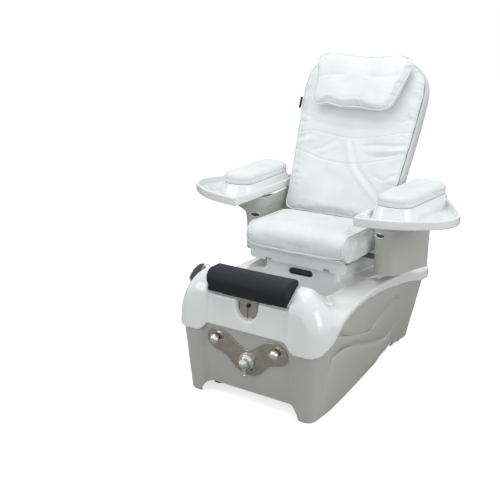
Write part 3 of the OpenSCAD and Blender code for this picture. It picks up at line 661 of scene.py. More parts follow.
def piped(obj: Object, name: str, path: Sequence[Vector], closed: bool,
          radius: float, rise: float) -> Object:
    """Sews a welt cord onto a skin and draws the skin in beside it.

    Args:
        obj: the cover.
        name: name of the cord's object.
        path: rough line of the seam.
        closed: whether the seam runs round.
        radius: half the cord's thickness.
        rise: how far the cord's middle stands off the skin.

    Returns:
        The cord.
    """
    length = sum((b - a).length for a, b in zip(path, path[1:]))
    marks = even_points(path, int(length / MARK_GAP), closed)
    line = []
    for p in marks:
        _, place, normal, _ = obj.closest_point_on_mesh(p)
        line.append(place + normal * rise)
    for _ in range(3):
        ends = (line[0], line[-1])
        line = [(line[i - 1] + line[i] * 2 + line[(i + 1) % len(line)]) / 4 for i in range(len(line))]
        if not closed:
            line[0], line[-1] = ends
    tree = kdtree.KDTree(len(line))
    for i, p in enumerate(line):
        tree.insert(p, i)
    tree.balance()

    def drawn_in(place: Vector, _: Vector) -> float:
        """Returns how far the skin moves at a place beside the welt."""
        _, i, away = tree.find(place)
        if away > SEAM_REACH:
            return 0.0
        groove = -GROOVE[0] * exp(-((away / GROOVE[1]) ** 2))
        # The puckers' pace wanders along the seam, so that they don't look ruled.
        pull = PUCKER[0] * sin(i * 1.55 + 2.2 * sin(i * 0.21)) * exp(-away / PUCKER[1])
        return groove + pull * min(1.0, away / 0.005)

    reshaped(obj, drawn_in)
    return Shape().tube(line, radius, closed=closed).outward().done(name)


def reshaped(obj: Object, offset: Callable[[Vector, Vector], float]) -> Object:
    """Moves the skin of an object along its normals by offset(place, normal) metres."""
    skin = Shape()
    skin.bm.from_mesh(obj.data)
    skin.displace(offset)
    skin.bm.to_mesh(obj.data)
    skin.bm.free()
    return smoothed(obj)


def slack_wave(place: Vector, scale: float, depth: float) -> float:
    """Returns a soft undulation of leather over foam, in metres."""
    return depth * noise.noise(place * scale) + 0.35 * depth * noise.noise(place * scale * 3.1)


# --------------------------------------------------------------- materials


def srgb(code: str) -> tuple[float, float, float, float]:
    """Returns the linear colour of an sRGB hex code."""
    parts = [int(code[i : i + 2], 16) / 255 for i in (1, 3, 5)]
    return (*[c / 12.92 if c <= 0.04045 else ((c + 0.055) / 1.055) ** 2.4 for c in parts], 1.0)


class Graph:
    """Node tree of one material with its shader and Object coordinates."""

    def __init__(self, name: str) -> None:
        """Starts a material of that name with its shader and coordinates."""
        self.material = bpy.data.materials.new(name)
        self.material.use_nodes = True
        self.tree = self.material.node_tree
        self.shader = self.tree.nodes["Principled BSDF"]
        self.place = self.add("ShaderNodeTexCoord").outputs["Object"]

    def add(self, kind: str, settings: dict | None = None, **inputs: object) -> Node:
        """Adds a node.

        Args:
            kind: the node's type.
            settings: attributes of the node.
            inputs: values or sockets for its inputs, with spaces as underscores.

        Returns:
            The new node.
        """
        made = self.tree.nodes.new(kind)
        for key, value in (settings or {}).items():
            setattr(made, key, value)
        for key, value in inputs.items():
            socket = made.inputs[int(key[1:])] if key[0] == "_" else made.inputs[key.replace("_", " ")]
            self.feed(socket, value)
        return made

    def feed(self, socket: NodeSocket, value: object) -> None:
        """Links a socket to an input or sets its value."""
        if isinstance(value, NodeSocket):
            self.tree.links.new(value, socket)
        else:
            socket.default_value = value

    def noise(self, scale: float, detail: float, stretch: Point | None = None) -> NodeSocket:
        """Returns a noise value of the given scale per metre."""
        place = self.place
        if stretch:
            place = self.add("ShaderNodeMapping", Vector=place, Scale=stretch).outputs[0]
        return self.add("ShaderNodeTexNoise", Vector=place, Scale=scale, Detail=detail).outputs[0]

    def span(self, value: NodeSocket, low: float, high: float,
             start: float = 0.3, end: float = 0.7) -> NodeSocket:
        """Maps a value from start..end to low..high."""
        return self.add(
            "ShaderNodeMapRange", None, Value=value, From_Min=start, From_Max=end, To_Min=low, To_Max=high
        ).outputs[0]

    def tint(self, value: NodeSocket, dark: str, light: str) -> NodeSocket:
        """Returns a colour between two hex codes, driven by a value."""
        made = self.add("ShaderNodeMix", {"data_type": "RGBA"}, Factor=value)
        made.inputs[6].default_value, made.inputs[7].default_value = srgb(dark), srgb(light)
        return made.outputs[2]

    def bump(self, height: NodeSocket, distance: float, strength: float,
             under: NodeSocket | None = None) -> NodeSocket:
        """Returns a normal raised by height, distance in metres."""
        made = self.add("ShaderNodeBump", None, Height=height, Distance=distance, Strength=strength)
        if under:
            self.feed(made.inputs["Normal"], under)
        return made.outputs[0]

    def finish(self, **sockets: object) -> Material:
        """Feeds the shader's sockets and returns the material."""
        for key, value in sockets.items():
            self.feed(self.shader.inputs[key.replace("_", " ")], value)
        return self.material


@dataclass(frozen=True)
class Gelcoat:
    """Moulded shell whose gloss has hazy patches, with a clear coat where coat is over 0."""

    name: str
    dark: str
    light: str
    rough: Pair = (0.16, 0.26)
    coat: float = 0.5

    def make(self) -> Material:
        """Returns the material."""
        g = Graph(self.name)
        tone = g.span(g.noise(5, 3), 0, 1)
        haze = g.span(g.noise(12, 2), *self.rough)
        return g.finish(
            Base_Color=g.tint(tone, self.dark, self.light), Roughness=haze,
            Coat_Weight=self.coat, Coat_Roughness=0.08, IOR=1.5,
        )


@dataclass(frozen=True)
class Leather:
    """Soft synthetic leather: fine pebbled grain, shallow creases, soft sheen."""

    name: str
    dark: str
    light: str
    rough: Pair = (0.38, 0.5)
    grain: float = 650.0
    depth: float = 0.00022
    shine: float = 0.4

    def make(self) -> Material:
        """Returns the material."""
        g = Graph(self.name)
        tone = g.span(g.noise(9, 4), 0, 1)
        cells = g.add(
            "ShaderNodeTexVoronoi", {"feature": "DISTANCE_TO_EDGE"}, Vector=g.place, Scale=self.grain
        ).outputs[0]
        pebble = g.span(cells, 0, 1, 0.0, 0.25)
        crease = g.bump(g.noise(38, 5, (1, 1, 2.2)), 0.0011, 0.5)
        skin = g.bump(pebble, self.depth, 0.35, crease)
        return g.finish(
            Base_Color=g.tint(tone, self.dark, self.light),
            Roughness=g.span(g.noise(60, 3), *self.rough), Normal=skin,
            Specular_IOR_Level=self.shine,
        )


@dataclass(frozen=True)
class Metal:
    """Plated or bare metal with smudges and fine polishing marks."""

    name: str
    dark: str
    light: str
    rough: Pair = (0.05, 0.16)
    stretch: Point = (1.0, 1.0, 1.0)
    marks: float = 0.00002

    def make(self) -> Material:
        """Returns the material."""
        g = Graph(self.name)
        tone = g.span(g.noise(30, 3), 0, 1)
        lines = g.noise(900, 2, self.stretch)
        return g.finish(
            Base_Color=g.tint(tone, self.dark, self.light), Metallic=1.0,
            Roughness=g.span(g.noise(120, 4), *self.rough), Normal=g.bump(lines, self.marks, 0.5),
        )


@dataclass(frozen=True)
class Plain:
    """Painted, moulded or rubber surface, faintly cloudy, with a fine texture."""

    name: str
    dark: str
    light: str
    rough: Pair = (0.4, 0.6)
    grain: float = 900.0
    depth: float = 0.00008

    def make(self) -> Material:
        """Returns the material."""
        g = Graph(self.name)
        tone = g.span(g.noise(25, 4), 0, 1)
        return g.finish(
            Base_Color=g.tint(tone, self.dark, self.light),
            Roughness=g.span(g.noise(80, 3), *self.rough),
            Normal=g.bump(g.noise(self.grain, 2), self.depth, 0.6),
        )


@dataclass(frozen=True)
class Plywood:
    """Board of pale veneer with drawn-out grain lines."""

    name: str
    dark: str
    light: str

    def make(self) -> Material:
        """Returns the material."""
        g = Graph(self.name)
        lines = g.noise(60, 5, (1, 0.08, 1))
        return g.finish(
            Base_Color=g.tint(g.span(lines, 0, 1), self.dark, self.light),
            Roughness=g.span(lines, 0.55, 0.75), Normal=g.bump(lines, 0.0002, 0.5),
        )


@dataclass(frozen=True)
class Webbing:
    """Woven tape with fine ribs."""

    name: str
    dark: str
    light: str

    def make(self) -> Material:
        """Returns the material."""
        g = Graph(self.name)
        ribs = g.add("ShaderNodeTexWave", {"bands_direction": "Z"}, Vector=g.place, Scale=500.0).outputs[1]
        return g.finish(
            Base_Color=g.tint(g.span(g.noise(200, 3), 0, 1), self.dark, self.light),
            Roughness=0.85, Normal=g.bump(ribs, 0.0003, 0.8),
        )


# What each slot of the CAD record is made of, and what that gives the eye.
FINISHES: dict[str, object] = {
    # Grey-white gelcoat of the lower shell and columns, a satin gloss with soft highlights.
    "skirt_plastic": Gelcoat("gelcoat_grey_gloss", "#bcbcb7", "#c2c2bd", (0.3, 0.36), 0.0),
    # White acrylic of tub and trays, the glossiest plastic: it mirrors the lamps.
    "white_plastic": Gelcoat("acrylic_white_gloss", "#eceeee", "#f3f5f5", (0.1, 0.2), 0.7),
    # Pale grey back shell, satin, so that it reads apart from the leather.
    "shell_plastic": Gelcoat("abs_grey_satin", "#dfe3e3", "#e8ebeb", (0.3, 0.4), 0.15),
    # White leather of seat, back, pillow and arm pads.
    "white_leather": Leather("leather_white_soft", "#e6ebeb", "#f0f4f4"),
    # Dark blue-grey skin of the footrest roll.
    "pad_leather": Leather("leather_slate_fine", "#1b222a", "#222a33", (0.5, 0.64), 800, 0.00016, 0.22),
    # Bright plated fittings.
    "chrome_trim": Metal("chrome_polished", "#c9cccd", "#dcdfe0", (0.04, 0.12)),
    # Warm polished steel of the faucet plate and footrest slider, darker than the chrome.
    "plate_metal": Metal("steel_warm_polished", "#a29c92", "#b8b2a8", (0.06, 0.16), (1, 1, 0.05)),
    # Bare steel of rails, rods and screws.
    "plain_steel": Metal("steel_turned", "#8f9396", "#a4a8ab", (0.25, 0.4)),
    # Oiled steel of the lead screw's bearing, a little darker and smoother.
    "bearing_metal": Metal("steel_oiled", "#85898c", "#9a9ea1", (0.22, 0.36)),
    # Dull yellow brass of water inlets, valves and the lead screw's nut.
    "brass_fittings": Metal("brass_aged", "#9c7c42", "#b8965a", (0.24, 0.42)),
    # Dark grey powder coat of the frames.
    "chassis_paint": Plain("powder_coat_grey", "#5d6164", "#6a6e71", (0.4, 0.55)),
    # Near-black enamel of motors, pump and actuator, and of the arm latches' buttons.
    "motor_paint": Plain("enamel_dark_grey", "#2f3336", "#3c4043", (0.35, 0.5)),
    # Matt black of floor pads and massage rollers.
    "black_rubber": Plain("rubber_black", "#1b1c1e", "#26282a", (0.65, 0.85)),
    # Dull dark plastic of the waterfall outlet and the spray face, which read as openings. The same colour is
    # the painted shade on the dark sheet set just behind the waterfall's slot.
    "outlet_plastic": Plain("abs_dark_grey", "#30383b", "#394145", (0.7, 0.85)),
    # Pale plastic of the pipes and control box under the tub.
    "pipe_plastic": Plain("pvc_pale", "#cfd1cc", "#dbddd9", (0.35, 0.5)),
    # Blackened screw heads with a faint shine.
    "black_screw": Plain("screw_black_oxide", "#1c1e20", "#2b2d30", (0.35, 0.5)),
    # Warm brown board under the seat.
    "board_wood": Plywood("plywood_birch", "#a5855a", "#c4a475"),
    # Black woven tape of the pull tab.
    "tab_fabric": Webbing("webbing_black", "#141618", "#202326"),
}


class Palette:
    """Materials of the chair by their slot."""

    def __init__(self) -> None:
        """Makes every material once."""
        self.materials = {slot: finish.make() for slot, finish in FINISHES.items()}

    def dress(self, obj: Object, slot: str, body: Body, *nodes: str) -> Object:
        """Gives a piece its finish, its body and the CAD nodes it stands for."""
        obj.data.materials.clear()
        obj.data.materials.append(self.materials[slot])
        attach(obj, body.value)
        if nodes:
            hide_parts(*nodes)
        return obj

    def dress_frame(self, frame: dict) -> None:
        """Gives every CAD node the finish of its slot in the record."""
        slots = {s["node"]: s["material_slot"] for s in frame["record"]["subparts"]}
        for name, obj in frame["nodes"].items():
            material = self.materials[slots[name]]
            if not obj.material_slots:
                obj.data.materials.append(material)
            for used in obj.material_slots:
                used.material = material


# ---------------------------------------------------------------- the base


@dataclass
class TubShell:
    """White tub: fenders, pillars, basin, panel notch and seat plinth."""

    length: float = 1210.0
    # How far the pillars' tops stand back, the depth over which that fades out, and the
    # height from which and over which it grows.
    lean: float = 30.0
    lean_depth: float = 200.0
    lean_foot: float = 300.0
    lean_rise: float = 230.0
    basin_z: float = 150.0
    # The basin's half width, half length and middle y at its foot, shoulder and rim.
    basin_plans: tuple[Point, Point, Point] = ((150, 128, 285), (196, 176, 275), (228, 194, 275))
    basin_rises: Pair = (150.0, 130.0)
    # Low front and high rear corner of the block that the basin is cut into.
    well: tuple[Point, Point] = ((-262, 60, 90), (262, 500, 430))
    # Half width, front y, rear y and top of the block that carries the seat.
    plinth: tuple[float, float, float, float] = (190.0, 470.0, 1050.0, 520.0)
    shower_at: Point = (-318.0, 214.0, 452.0)
    recess_w: float = 197.0
    panel_y: float = 12.0
    panel_foot: float = 345.0
    notch_r: float = 51.0
    notch_z: float = 396.0
    outlet_z: float = 478.0
    dock_r: float = 21.5
    voxel: float = 0.005
    wall: float = 0.005
    # Along the tub from its front: half width at the lip, the lip's height and that of the
    # upright band over it, then the crest's x and height.
    width: Curve = curve((0, 296), (8, 318), (25, 342), (80, 365), (170, 362), (300, 352), (520, 341),
                         (850, 342), (1000, 357), (1110, 357), (1170, 340), (1200, 305), (1210, 290))
    lip_z: Curve = curve((0, 306), (30, 314), (60, 330), (105, 352), (157, 374), (226, 402), (331, 419),
                         (440, 422), (560, 415), (700, 398), (900, 370), (1060, 338), (1210, 330))
    lip_band: Curve = curve((0, 60), (60, 40), (110, 22), (180, 22), (360, 24), (480, 28), (600, 38),
                            (800, 46), (1210, 50))
    crest_x: Curve = curve((0, 232), (100, 243), (240, 246), (480, 258), (700, 285), (1210, 262))
    crest_z: Curve = curve((0, 478), (8, 505), (30, 533), (62, 556), (92, 563), (125, 554), (160, 533),
                           (235, 490), (330, 472), (520, 466), (700, 458), (900, 436), (1060, 405),
                           (1190, 385), (1210, 372))
    # How full the fender's side is: 1 is an ellipse, more is leaner.
    fall: Curve = curve((0, 0.9), (40, 1.08), (92, 1.35), (160, 1.5), (240, 1.6), (400, 1.7), (1210, 1.7))

    def _ring(self, y: float) -> list[Vector]:
        """Returns the tub's outer section at y, from one lip over the crests to the other."""
        w, foot, k = self.width(y), self.lip_z(y), self.fall(y)
        band, x, top = foot + self.lip_band(y), self.crest_x(y), self.crest_z(y)
        half = [(w, foot)]
        for a in steps(0, pi / 2, 18):
            half.append((x + (w - x) * max(0.0, cos(a)) ** k, band + (top - band) * sin(a) ** k))

        def leaned(px: float, pz: float) -> Vector:
            """Returns the section's point, moved back with its height near the front."""
            near = max(0.0, 1 - y / self.lean_depth)
            return chair(px, y + self.lean * near * max(0.0, pz - self.lean_foot) / self.lean_rise, pz)

        return [leaned(-px, pz) for px, pz in half] + [leaned(px, pz) for px, pz in reversed(half)]

    def _slab(self, *levels: tuple[float, float, float, float, float]) -> Object:
        """Returns a stack of rounded rectangles (z, half x, half y, radius, middle y)."""
        return Shape().loft([
            [chair(px, middle + py, z) for px, py in round_rect(hx, hy, r)] for z, hx, hy, r, middle in levels
        ]).cutter()

    def _basin_half(self, z: float) -> tuple[float, float, float]:
        """Returns half width, half length and middle y of the basin at a height."""
        (foot, shoulder, rim), (low, high) = self.basin_plans, self.basin_rises
        t = max(0.0, min(1.0, (z - self.basin_z) / low))
        if t < 1.0:
            return tuple(mix(a, b, t) for a, b in zip(foot, shoulder))
        t = min(1.0, (z - self.basin_z - low) / high)
        return tuple(mix(a, b, t) for a, b in zip(shoulder, rim))

    def build(self) -> None:
        """Makes the shell's skin and its wall."""
        stations = [0, 4, 8, 16, *steps(25, 1185, 92), 1195, 1203, 1210]
        tub = Shape().loft([self._ring(y) for y in stations]).outward().done("tub_shell_skin")
        half_w, y0, y1, top = self.plinth
        half_l, middle = (y1 - y0) / 2, (y0 + y1) / 2
        extra = [
            Shape().block(*self.well).cutter(),
            self._slab((340, half_w, half_l, 24, middle), (top - 5, half_w, half_l, 24, middle),
                       (top, half_w - 4, half_l - 4, 22, middle)),
        ]
        combine(tub, extra, "UNION")
        combine(tub, self._cutters(), "DIFFERENCE")
        remeshed(tub, self.voxel)
        skin = reopened(tub).drop(self._below_lip).main_island().relax(5, 0.45)
        self.skin = thickened(skin.done("tub_shell_skin"), self.wall)

    def _basin_cutters(self) -> list[Object]:
        """Returns the basin's hollow: low part, rear, front and wide top."""
        z = self.basin_z
        return [
            self._slab((z, 138, 116, 44, 285), (z + 6, 147, 125, 50, 285), (z + 16, 154, 133, 54, 284),
                       (300, 196, 176, 60, 275), (308, 199, 175, 60, 275)),
            self._slab((296, 195, 175, 60, 275), (440, 228, 118, 40, 350), (470, 234, 118, 40, 350),
                       (500, 239, 119, 40, 351)),
            self._slab((296, 195, 175, 60, 275), (420, 198, 90, 30, 176), (620, 204, 90, 30, 174)),
            self._slab((440, 228, 78, 40, 390), (500, 238, 78, 40, 392), (700, 240, 78, 40, 392)),
        ]

    def _cutters(self) -> list[Object]:
        """Returns all that is cut out: basin, recess, notch, drive slot, outlet and dock."""
        r, foot, w, face = self.notch_r, self.panel_foot, self.recess_w, self.panel_y
        round_foot = [(r * cos(a), self.notch_z + r + r * sin(a)) for a in steps(0, -pi, 24)]
        notch = [(r, 620), *round_foot, (-r, 620)]
        panel = [(-60, foot), (face, foot), (face + self.lean, 530), (face + self.lean, 640), (-60, 640)]
        under = [(w + out, 250 if k == 0 else foot + 1 - drop)
                 for k, (out, drop) in enumerate(((LIP_STEP[0][0] + 4, 0), *LIP_STEP))]
        under += [(-u, v) for u, v in reversed(under)]
        outlet = [(u, self.outlet_z + v) for u, v in round_rect(58.4, 12.4, 12.3)]
        x, y, z = self.shower_at
        dock = [(x + self.dock_r * cos(a), y + self.dock_r * sin(a)) for a in turn_steps(32)]
        return self._basin_cutters() + [
            # The recess between the pillars, its stepped corners below and the room over it.
            Shape().prism(panel, lambda u, v, q: chair(q, u, v), -w, w).cutter(),
            Shape().prism(under, standing, -60, 40).cutter(),
            Shape().block((-w, -20, 478), (w, 118, 700)).cutter(),
            # The footrest's notch and the slot of the seat's drive.
            Shape().prism(notch, standing, -10, 52).cutter(),
            self._slab((330, 74, 254, 20, 784), (560, 74, 254, 20, 784)),
            # The waterfall's pocket and the shower's dock.
            Shape().prism(outlet, standing, 450, 492).cutter(),
            Shape().prism(dock, chair, z + 10, z + 90).cutter(),
        ]

    def _below_lip(self, face: BMFace) -> bool:
        """Tells whether a face belongs to the hollow underside."""
        c = face.calc_center_median()
        x, y, z = c.x / MM, c.y / MM + MID_Y, c.z / MM
        lip = self.lip_z(max(0.0, min(self.length, y)))
        if face.normal.z < -0.6 and lip - 12 < z < lip + 4:
            return True
        if z > lip - 3:
            return False
        hx, hy, cy = self._basin_half(z)
        return abs(x) > hx + 3 or abs(y - cy) > hy + 3 or z < self.basin_z - 8

    def dress(self, palette: Palette) -> None:
        """Gives the shell its gloss."""
        palette.dress(self.skin, "white_plastic", Body.BASE, "tub_shell")


@dataclass
class BaseSkirt:
    """Grey lower shell with posts, a recessed front and sculpted sides."""

    wall: float = 0.006
    fold_depth: float = 11.0
    panel_foot: float = TubShell.panel_foot
    lip_z: Curve = TubShell.lip_z
    # Heights of the side's three folds along it.
    fold_low: Curve = curve((130, 232), (180, 224), (260, 215), (365, 181), (465, 134), (570, 88), (700, 46),
                            (960, 30))
    fold_mid: Curve = curve((130, 302), (240, 284), (330, 262), (440, 232), (560, 199), (715, 156),
                            (835, 122), (980, 70))
    fold_high: Curve = curve((130, 390), (200, 372), (314, 320), (430, 284), (563, 268), (626, 280),
                             (686, 296), (785, 322), (860, 336), (980, 340))
    # Where along the side the folds show.
    mask: Curve = curve((0, 0), (106, 0), (160, 1), (800, 1), (930, 0), (1210, 0))
    # How far back the lip's step reaches, and across to where it is full and where it ends.
    step_y: float = 60.0
    step_x: Pair = (240.0, 262.0)
    vents: int = 5
    vent_z: float = 150.0
    vent_gap: float = 24.0
    # Rows of x and y at the floor, then x and y at the panel's foot, from the front's middle.
    plan: tuple[tuple[float, float, float, float], ...] = (
        (0, 66, 0, 26), (176, 66, 184, 26), (194, 66, 202, 26), (206, 64, 214, 24), (217, 56, 226, 19),
        (230, 46, 240, 14), (248, 40, 258, 11), (270, 38, 280, 10), (292, 43, 306, 14), (308, 58, 332, 32),
        (315, 88, 342, 68), (315, 116, 336, 112), (317, 150, 342, 150), (318, 200, 344, 200),
        (314, 280, 337, 280), (309, 360, 332, 360), (303, 440, 328, 440), (297, 520, 326, 520),
        (290, 600, 325, 600), (283, 680, 326, 665), (276, 760, 326, 730), (269, 840, 325, 795),
        (263, 910, 323, 850), (259, 970, 330, 915), (264, 1030, 340, 985), (271, 1080, 343, 1060),
        (268, 1112, 336, 1135), (246, 1128, 300, 1175), (200, 1130, 230, 1182), (100, 1130, 110, 1182),
        (0, 1130, 0, 1182),
    )

    def _controls(self, x: float, y: float) -> list[Pair]:
        """Returns the (height, outward reach) marks of the side at a plan place."""
        top = self.lip_z(y) + 12
        if y < self.step_y and x < self.step_x[1]:
            stepped = self.panel_foot - 0.4 - Curve(LIP_STEP[::-1])(max(-8.0, x - TubShell.recess_w))
            top = stepped if x < self.step_x[0] else max(top, stepped)
        m, d = self.mask(y), self.fold_depth
        low, mid, high = self.fold_low(y), self.fold_mid(y), min(self.fold_high(y), top - 10)
        folds = [0, 12, low * 0.55, low, (low + mid) / 2, mid - 30, mid, (mid + high) / 2, high - 28, high]
        even = [0, 12, 50, 90, 130, 165, 200, 232, 262, 290]
        out = [0, 0, 4, 6, -1, -d, -1, -d * 0.3, -d, -1, -3]
        return [(mix(e, f, m), o * m) for e, f, o in zip([*even, top], [*folds, top], out)]

    def _wall_point(self, p: Sequence[float], n: Vector, t: float) -> Vector:
        """Returns the point a share t up the wall at a plan point with its outward normal."""
        marks = self._controls(p[2], mix(p[1], p[3], t))
        u = t * (len(marks) - 1)
        z = Curve(tuple((k, m[0]) for k, m in enumerate(marks)))(u)
        out = Curve(tuple((k, m[1]) for k, m in enumerate(marks)))(u)
        lean = min(1.0, z / self.panel_foot)
        tuck = -9.0 * max(0.0, 1 - z / 10) ** 2
        reach = out + tuck
        return chair(mix(p[0], p[2], lean) + n.x * reach, mix(p[1], p[3], lean) + n.y * reach, z)

    def build(self) -> None:
        """Makes the wall, its arches and the vents at the rear."""
        half = corner_cut([tuple(p) for p in self.plan], 3, closed=False)
        count = len(half)
        normals = []
        for i in range(count):
            a, b = half[max(0, i - 1)], half[min(count - 1, i + 1)]
            normals.append(Vector((b[1] - a[1], a[0] - b[0])).normalized())
        rings = []
        for t in steps(0, 1, 100):
            right = [self._wall_point(p, n, t) for p, n in zip(half, normals)]
            left = [Vector((-v.x, v.y, v.z)) for v in reversed(right[1:-1])]
            rings.append(right + left)
        skin = Shape().loft(rings, caps=(False, False)).outward().done("base_skirt_shell")
        thickened(skin, self.wall)
        for vert in skin.data.vertices:
            vert.co.z = max(0.0, vert.co.z)
        combine(skin, self._arches(), "DIFFERENCE")
        self.shell = creased(skin, 50)

    def _arches(self) -> list[Object]:
        """Returns what is cut out of the wall: front, rear and side arches and the vents."""

        def arch(half: float, r: float, top: float) -> Plan:
            """Returns an arch of that half width at its top, corner radius and height."""
            low = [(-half - r, -30), (half + r, -30)]
            right = [(half + r * cos(a), top - r + r * sin(a)) for a in steps(0, pi / 2, 10)]
            return low + right + [(-u, v) for u, v in reversed(right)]

        made = [
            Shape().prism(arch(188, 60, 58), standing, 20, 110).cutter(),
            Shape().prism(arch(200, 28, 40), standing, 1090, 1180).cutter(),
            Shape().prism(arch(90, 26, 34), lambda u, v, w: chair(w, 830 + u, v), -360, 360).cutter(),
        ]
        for row in range(self.vents):
            z = self.vent_z + self.vent_gap * row
            slot = [(u, z + v) for u, v in round_rect(64, 4, 3.99, 5)]
            made.append(Shape().prism(slot, standing, 1100, 1220).cutter())
        return made

    def dress(self, palette: Palette) -> None:
        """Gives the skirt its satin gloss."""
        palette.dress(self.shell, "skirt_plastic", Body.BASE, "base_skirt")


@dataclass
class WaterFittings:
    """Faucet plate, knobs, diverter, hand shower, footrest plate and arm latches."""

    # Right half of the plate's outline, from the dip between its upper lobes down.
    plate: Rows = (
        (0, 47), (24, 56), (52, 75), (78, 95), (104, 111), (134, 119), (164, 116), (188, 99), (200, 74),
        (199, 50), (186, 30), (166, 17), (142, 11), (118, 5), (97, -8), (80, -27), (60, -49), (34, -66),
        (0, -73))
    # Inset and depth of the plate's rolled edge, from its rear to its face.
    plate_edge: Rows = (
        (1.0, -1.0), (0.2, -1.6), (0, -2.6), (0, -4.4), (0.4, -5.2), (1.2, -5.8), (2.4, -6.0))
    holes: Rows = ((-148, 76), (148, 76), (0, 0))
    hole_r: float = 10.2
    shower_at: Point = (-318.0, 214.0, 452.0)
    # The neck's bend from the dock, and half its thickness in metres.
    neck_bend: tuple[Point, ...] = (
        (0, 0, -40), (0, 0, 36), (-4, 2, 52), (-16, 6, 62), (-32, 12, 60), (-46, 17, 46), (-56, 20, 24),
        (-60, 20, 8))
    neck_r: float = 0.011
    # Radius and height along the collar round the neck, the head and its spray face, and how
    # far the collar stands over the dock.
    collar: Rows = ((0, 0), (14, 0), (15, 1), (15, 5), (14, 6), (0, 6))
    collar_up: float = 22.4
    head: Rows = (
        (0, -20), (12, -20), (16, -18), (38, -8), (50, -3), (54, 2), (54, 8), (52, 11), (49, 12.4),
        (46.5, 11.4), (45.5, 8.5), (0, 8.5))
    spray_face: Rows = ((0, 8.7), (45, 8.7), (45, 9.6), (36, 10.6), (0, 11.4))
    # Middle of the hand shower's head and the way its face looks.
    head_at: Point = (-385.0, 222.0, 470.0)
    head_faces: Point = (-0.35, -0.62, 0.70)
    slot_z: float = TubShell.outlet_z
    # Middle of a column's nose at the latch, how far round it the latch sits in radians, and
    # half the oval's width and height.
    latch_at: Point = (333.0, 634.0, 675.0)
    latch_turn: float = -0.2
    latch_oval: Pair = (27.0, 12.5)
    # Inset from the oval and height over the column of the latch's rim and of its button.
    latch_rim: Rows = ((0, -1), (0, 2), (1.2, 3.2), (3.6, 3.2), (4.6, -1))
    latch_button: Rows = ((4.9, -12), (4.9, 0.8), (6.5, 1.6), (9, 1.8), (11.6, 1.8))
    nose_r: float = 47.4
    # CAD node, rounding in metres, finish, body and sharpest angle left alone.
    copies: tuple[tuple[str, float, str, Body, float], ...] = (
        ("hot_knob", 0.0006, "chrome_trim", Body.HOT, 12),
        ("cold_knob", 0.0006, "chrome_trim", Body.COLD, 12),
        ("diverter_hub", 0.0012, "chrome_trim", Body.BASE, 30),
        ("diverter_lever", 0.0008, "chrome_trim", Body.DIVERTER, 20),
        ("shower_dock", 0.001, "chrome_trim", Body.BASE, 30),
        ("footrest_slider", 0.0006, "plate_metal", Body.FOOTREST, 30),
        ("footrest_screw", 0.0008, "black_screw", Body.FOOTREST_SCREW, 30),
    )

    def _plate(self) -> Object:
        """Returns the three-lobed plate with its rolled edge and its holes."""
        right = list(self.plate)
        outline = right + [(-u, v) for u, v in reversed(right[1:-1])]
        edge = even_points(corner_cut(outline, 2), 240)[::-1]
        rings = [[on_face(p.x, y, p.y) for p in inset_plan(edge, d)] for d, y in self.plate_edge]
        cutters = []
        for u, v in self.holes:
            ring = [(u + self.hole_r * cos(a), v + self.hole_r * sin(a)) for a in turn_steps(32)]
            cutters.append(Shape().prism(ring, lambda x, z, y: on_face(x, y, z), -9, 3).cutter())
        plate = Shape().loft(rings).outward().done("faucet_plate_lobes")
        return creased(combine(plate, cutters, "DIFFERENCE"), 32)

    def _shower(self) -> list[Object]:
        """Returns the hand shower's chrome neck and head and its dark spray face."""
        x, y, z = self.shower_at
        bend = corner_cut([(x + a, y + b, z + c) for a, b, c in self.neck_bend], 3, closed=False)
        body = Shape().turned(self.collar, Matrix.Translation(chair(x, y, z + self.collar_up)), 40)
        body.tube([chair(*p) for p in even_points(bend, 60, False)], self.neck_r, 20)
        ahead = Vector(self.head_faces).normalized()
        turn = Matrix.Translation(chair(*self.head_at)) @ ahead.to_track_quat("Z", "Y").to_matrix().to_4x4()
        head, face = Shape().turned(self.head, turn), Shape().turned(self.spray_face, turn)
        return [
            body.outward().done("hand_shower_neck"),
            creased(head.outward().done("hand_shower_head"), 40),
            face.outward().done("hand_shower_face"),
        ]

    def _latch(self, name: str, mirror: int, levels: Sequence[Pair]) -> Object:
        """Returns an oval that wraps round the nose of a column.

        Args:
            name: name of the object.
            mirror: 1 for the right column, -1 for the left one.
            levels: pairs of inset from the oval's rim and height over the column, in millimetres.
        """
        (x, y, z), (half_w, half_h) = self.latch_at, self.latch_oval
        rings = []
        for inset, out in levels:
            ring, r = [], self.nose_r + out
            for a in turn_steps(56):
                turn = self.latch_turn + (half_w - inset) * cos(a) / self.nose_r
                up = z + (half_h - inset) * sin(a)
                ring.append(chair(mirror * (x + r * sin(turn)), y - r * cos(turn), up))
            rings.append(ring)
        return Shape().loft(rings).outward().done(name)

    def _latches(self) -> list[tuple[Object, str, str, list[str]]]:
        """Returns both latches: a chrome rim on the column and a dark button in it."""
        made = []
        for side, mirror, body in (("right", 1, Body.LATCH_RIGHT), ("left", -1, Body.LATCH_LEFT)):
            rim = self._latch(f"arm_latch_{side}_rim", mirror, self.latch_rim)
            button = self._latch(f"arm_latch_{side}_button", mirror, self.latch_button)
            made.append((rim, "chrome_trim", Body.SEAT, []))
            made.append((button, "motor_paint", body, [f"arm_latch_{side}"]))
        return made

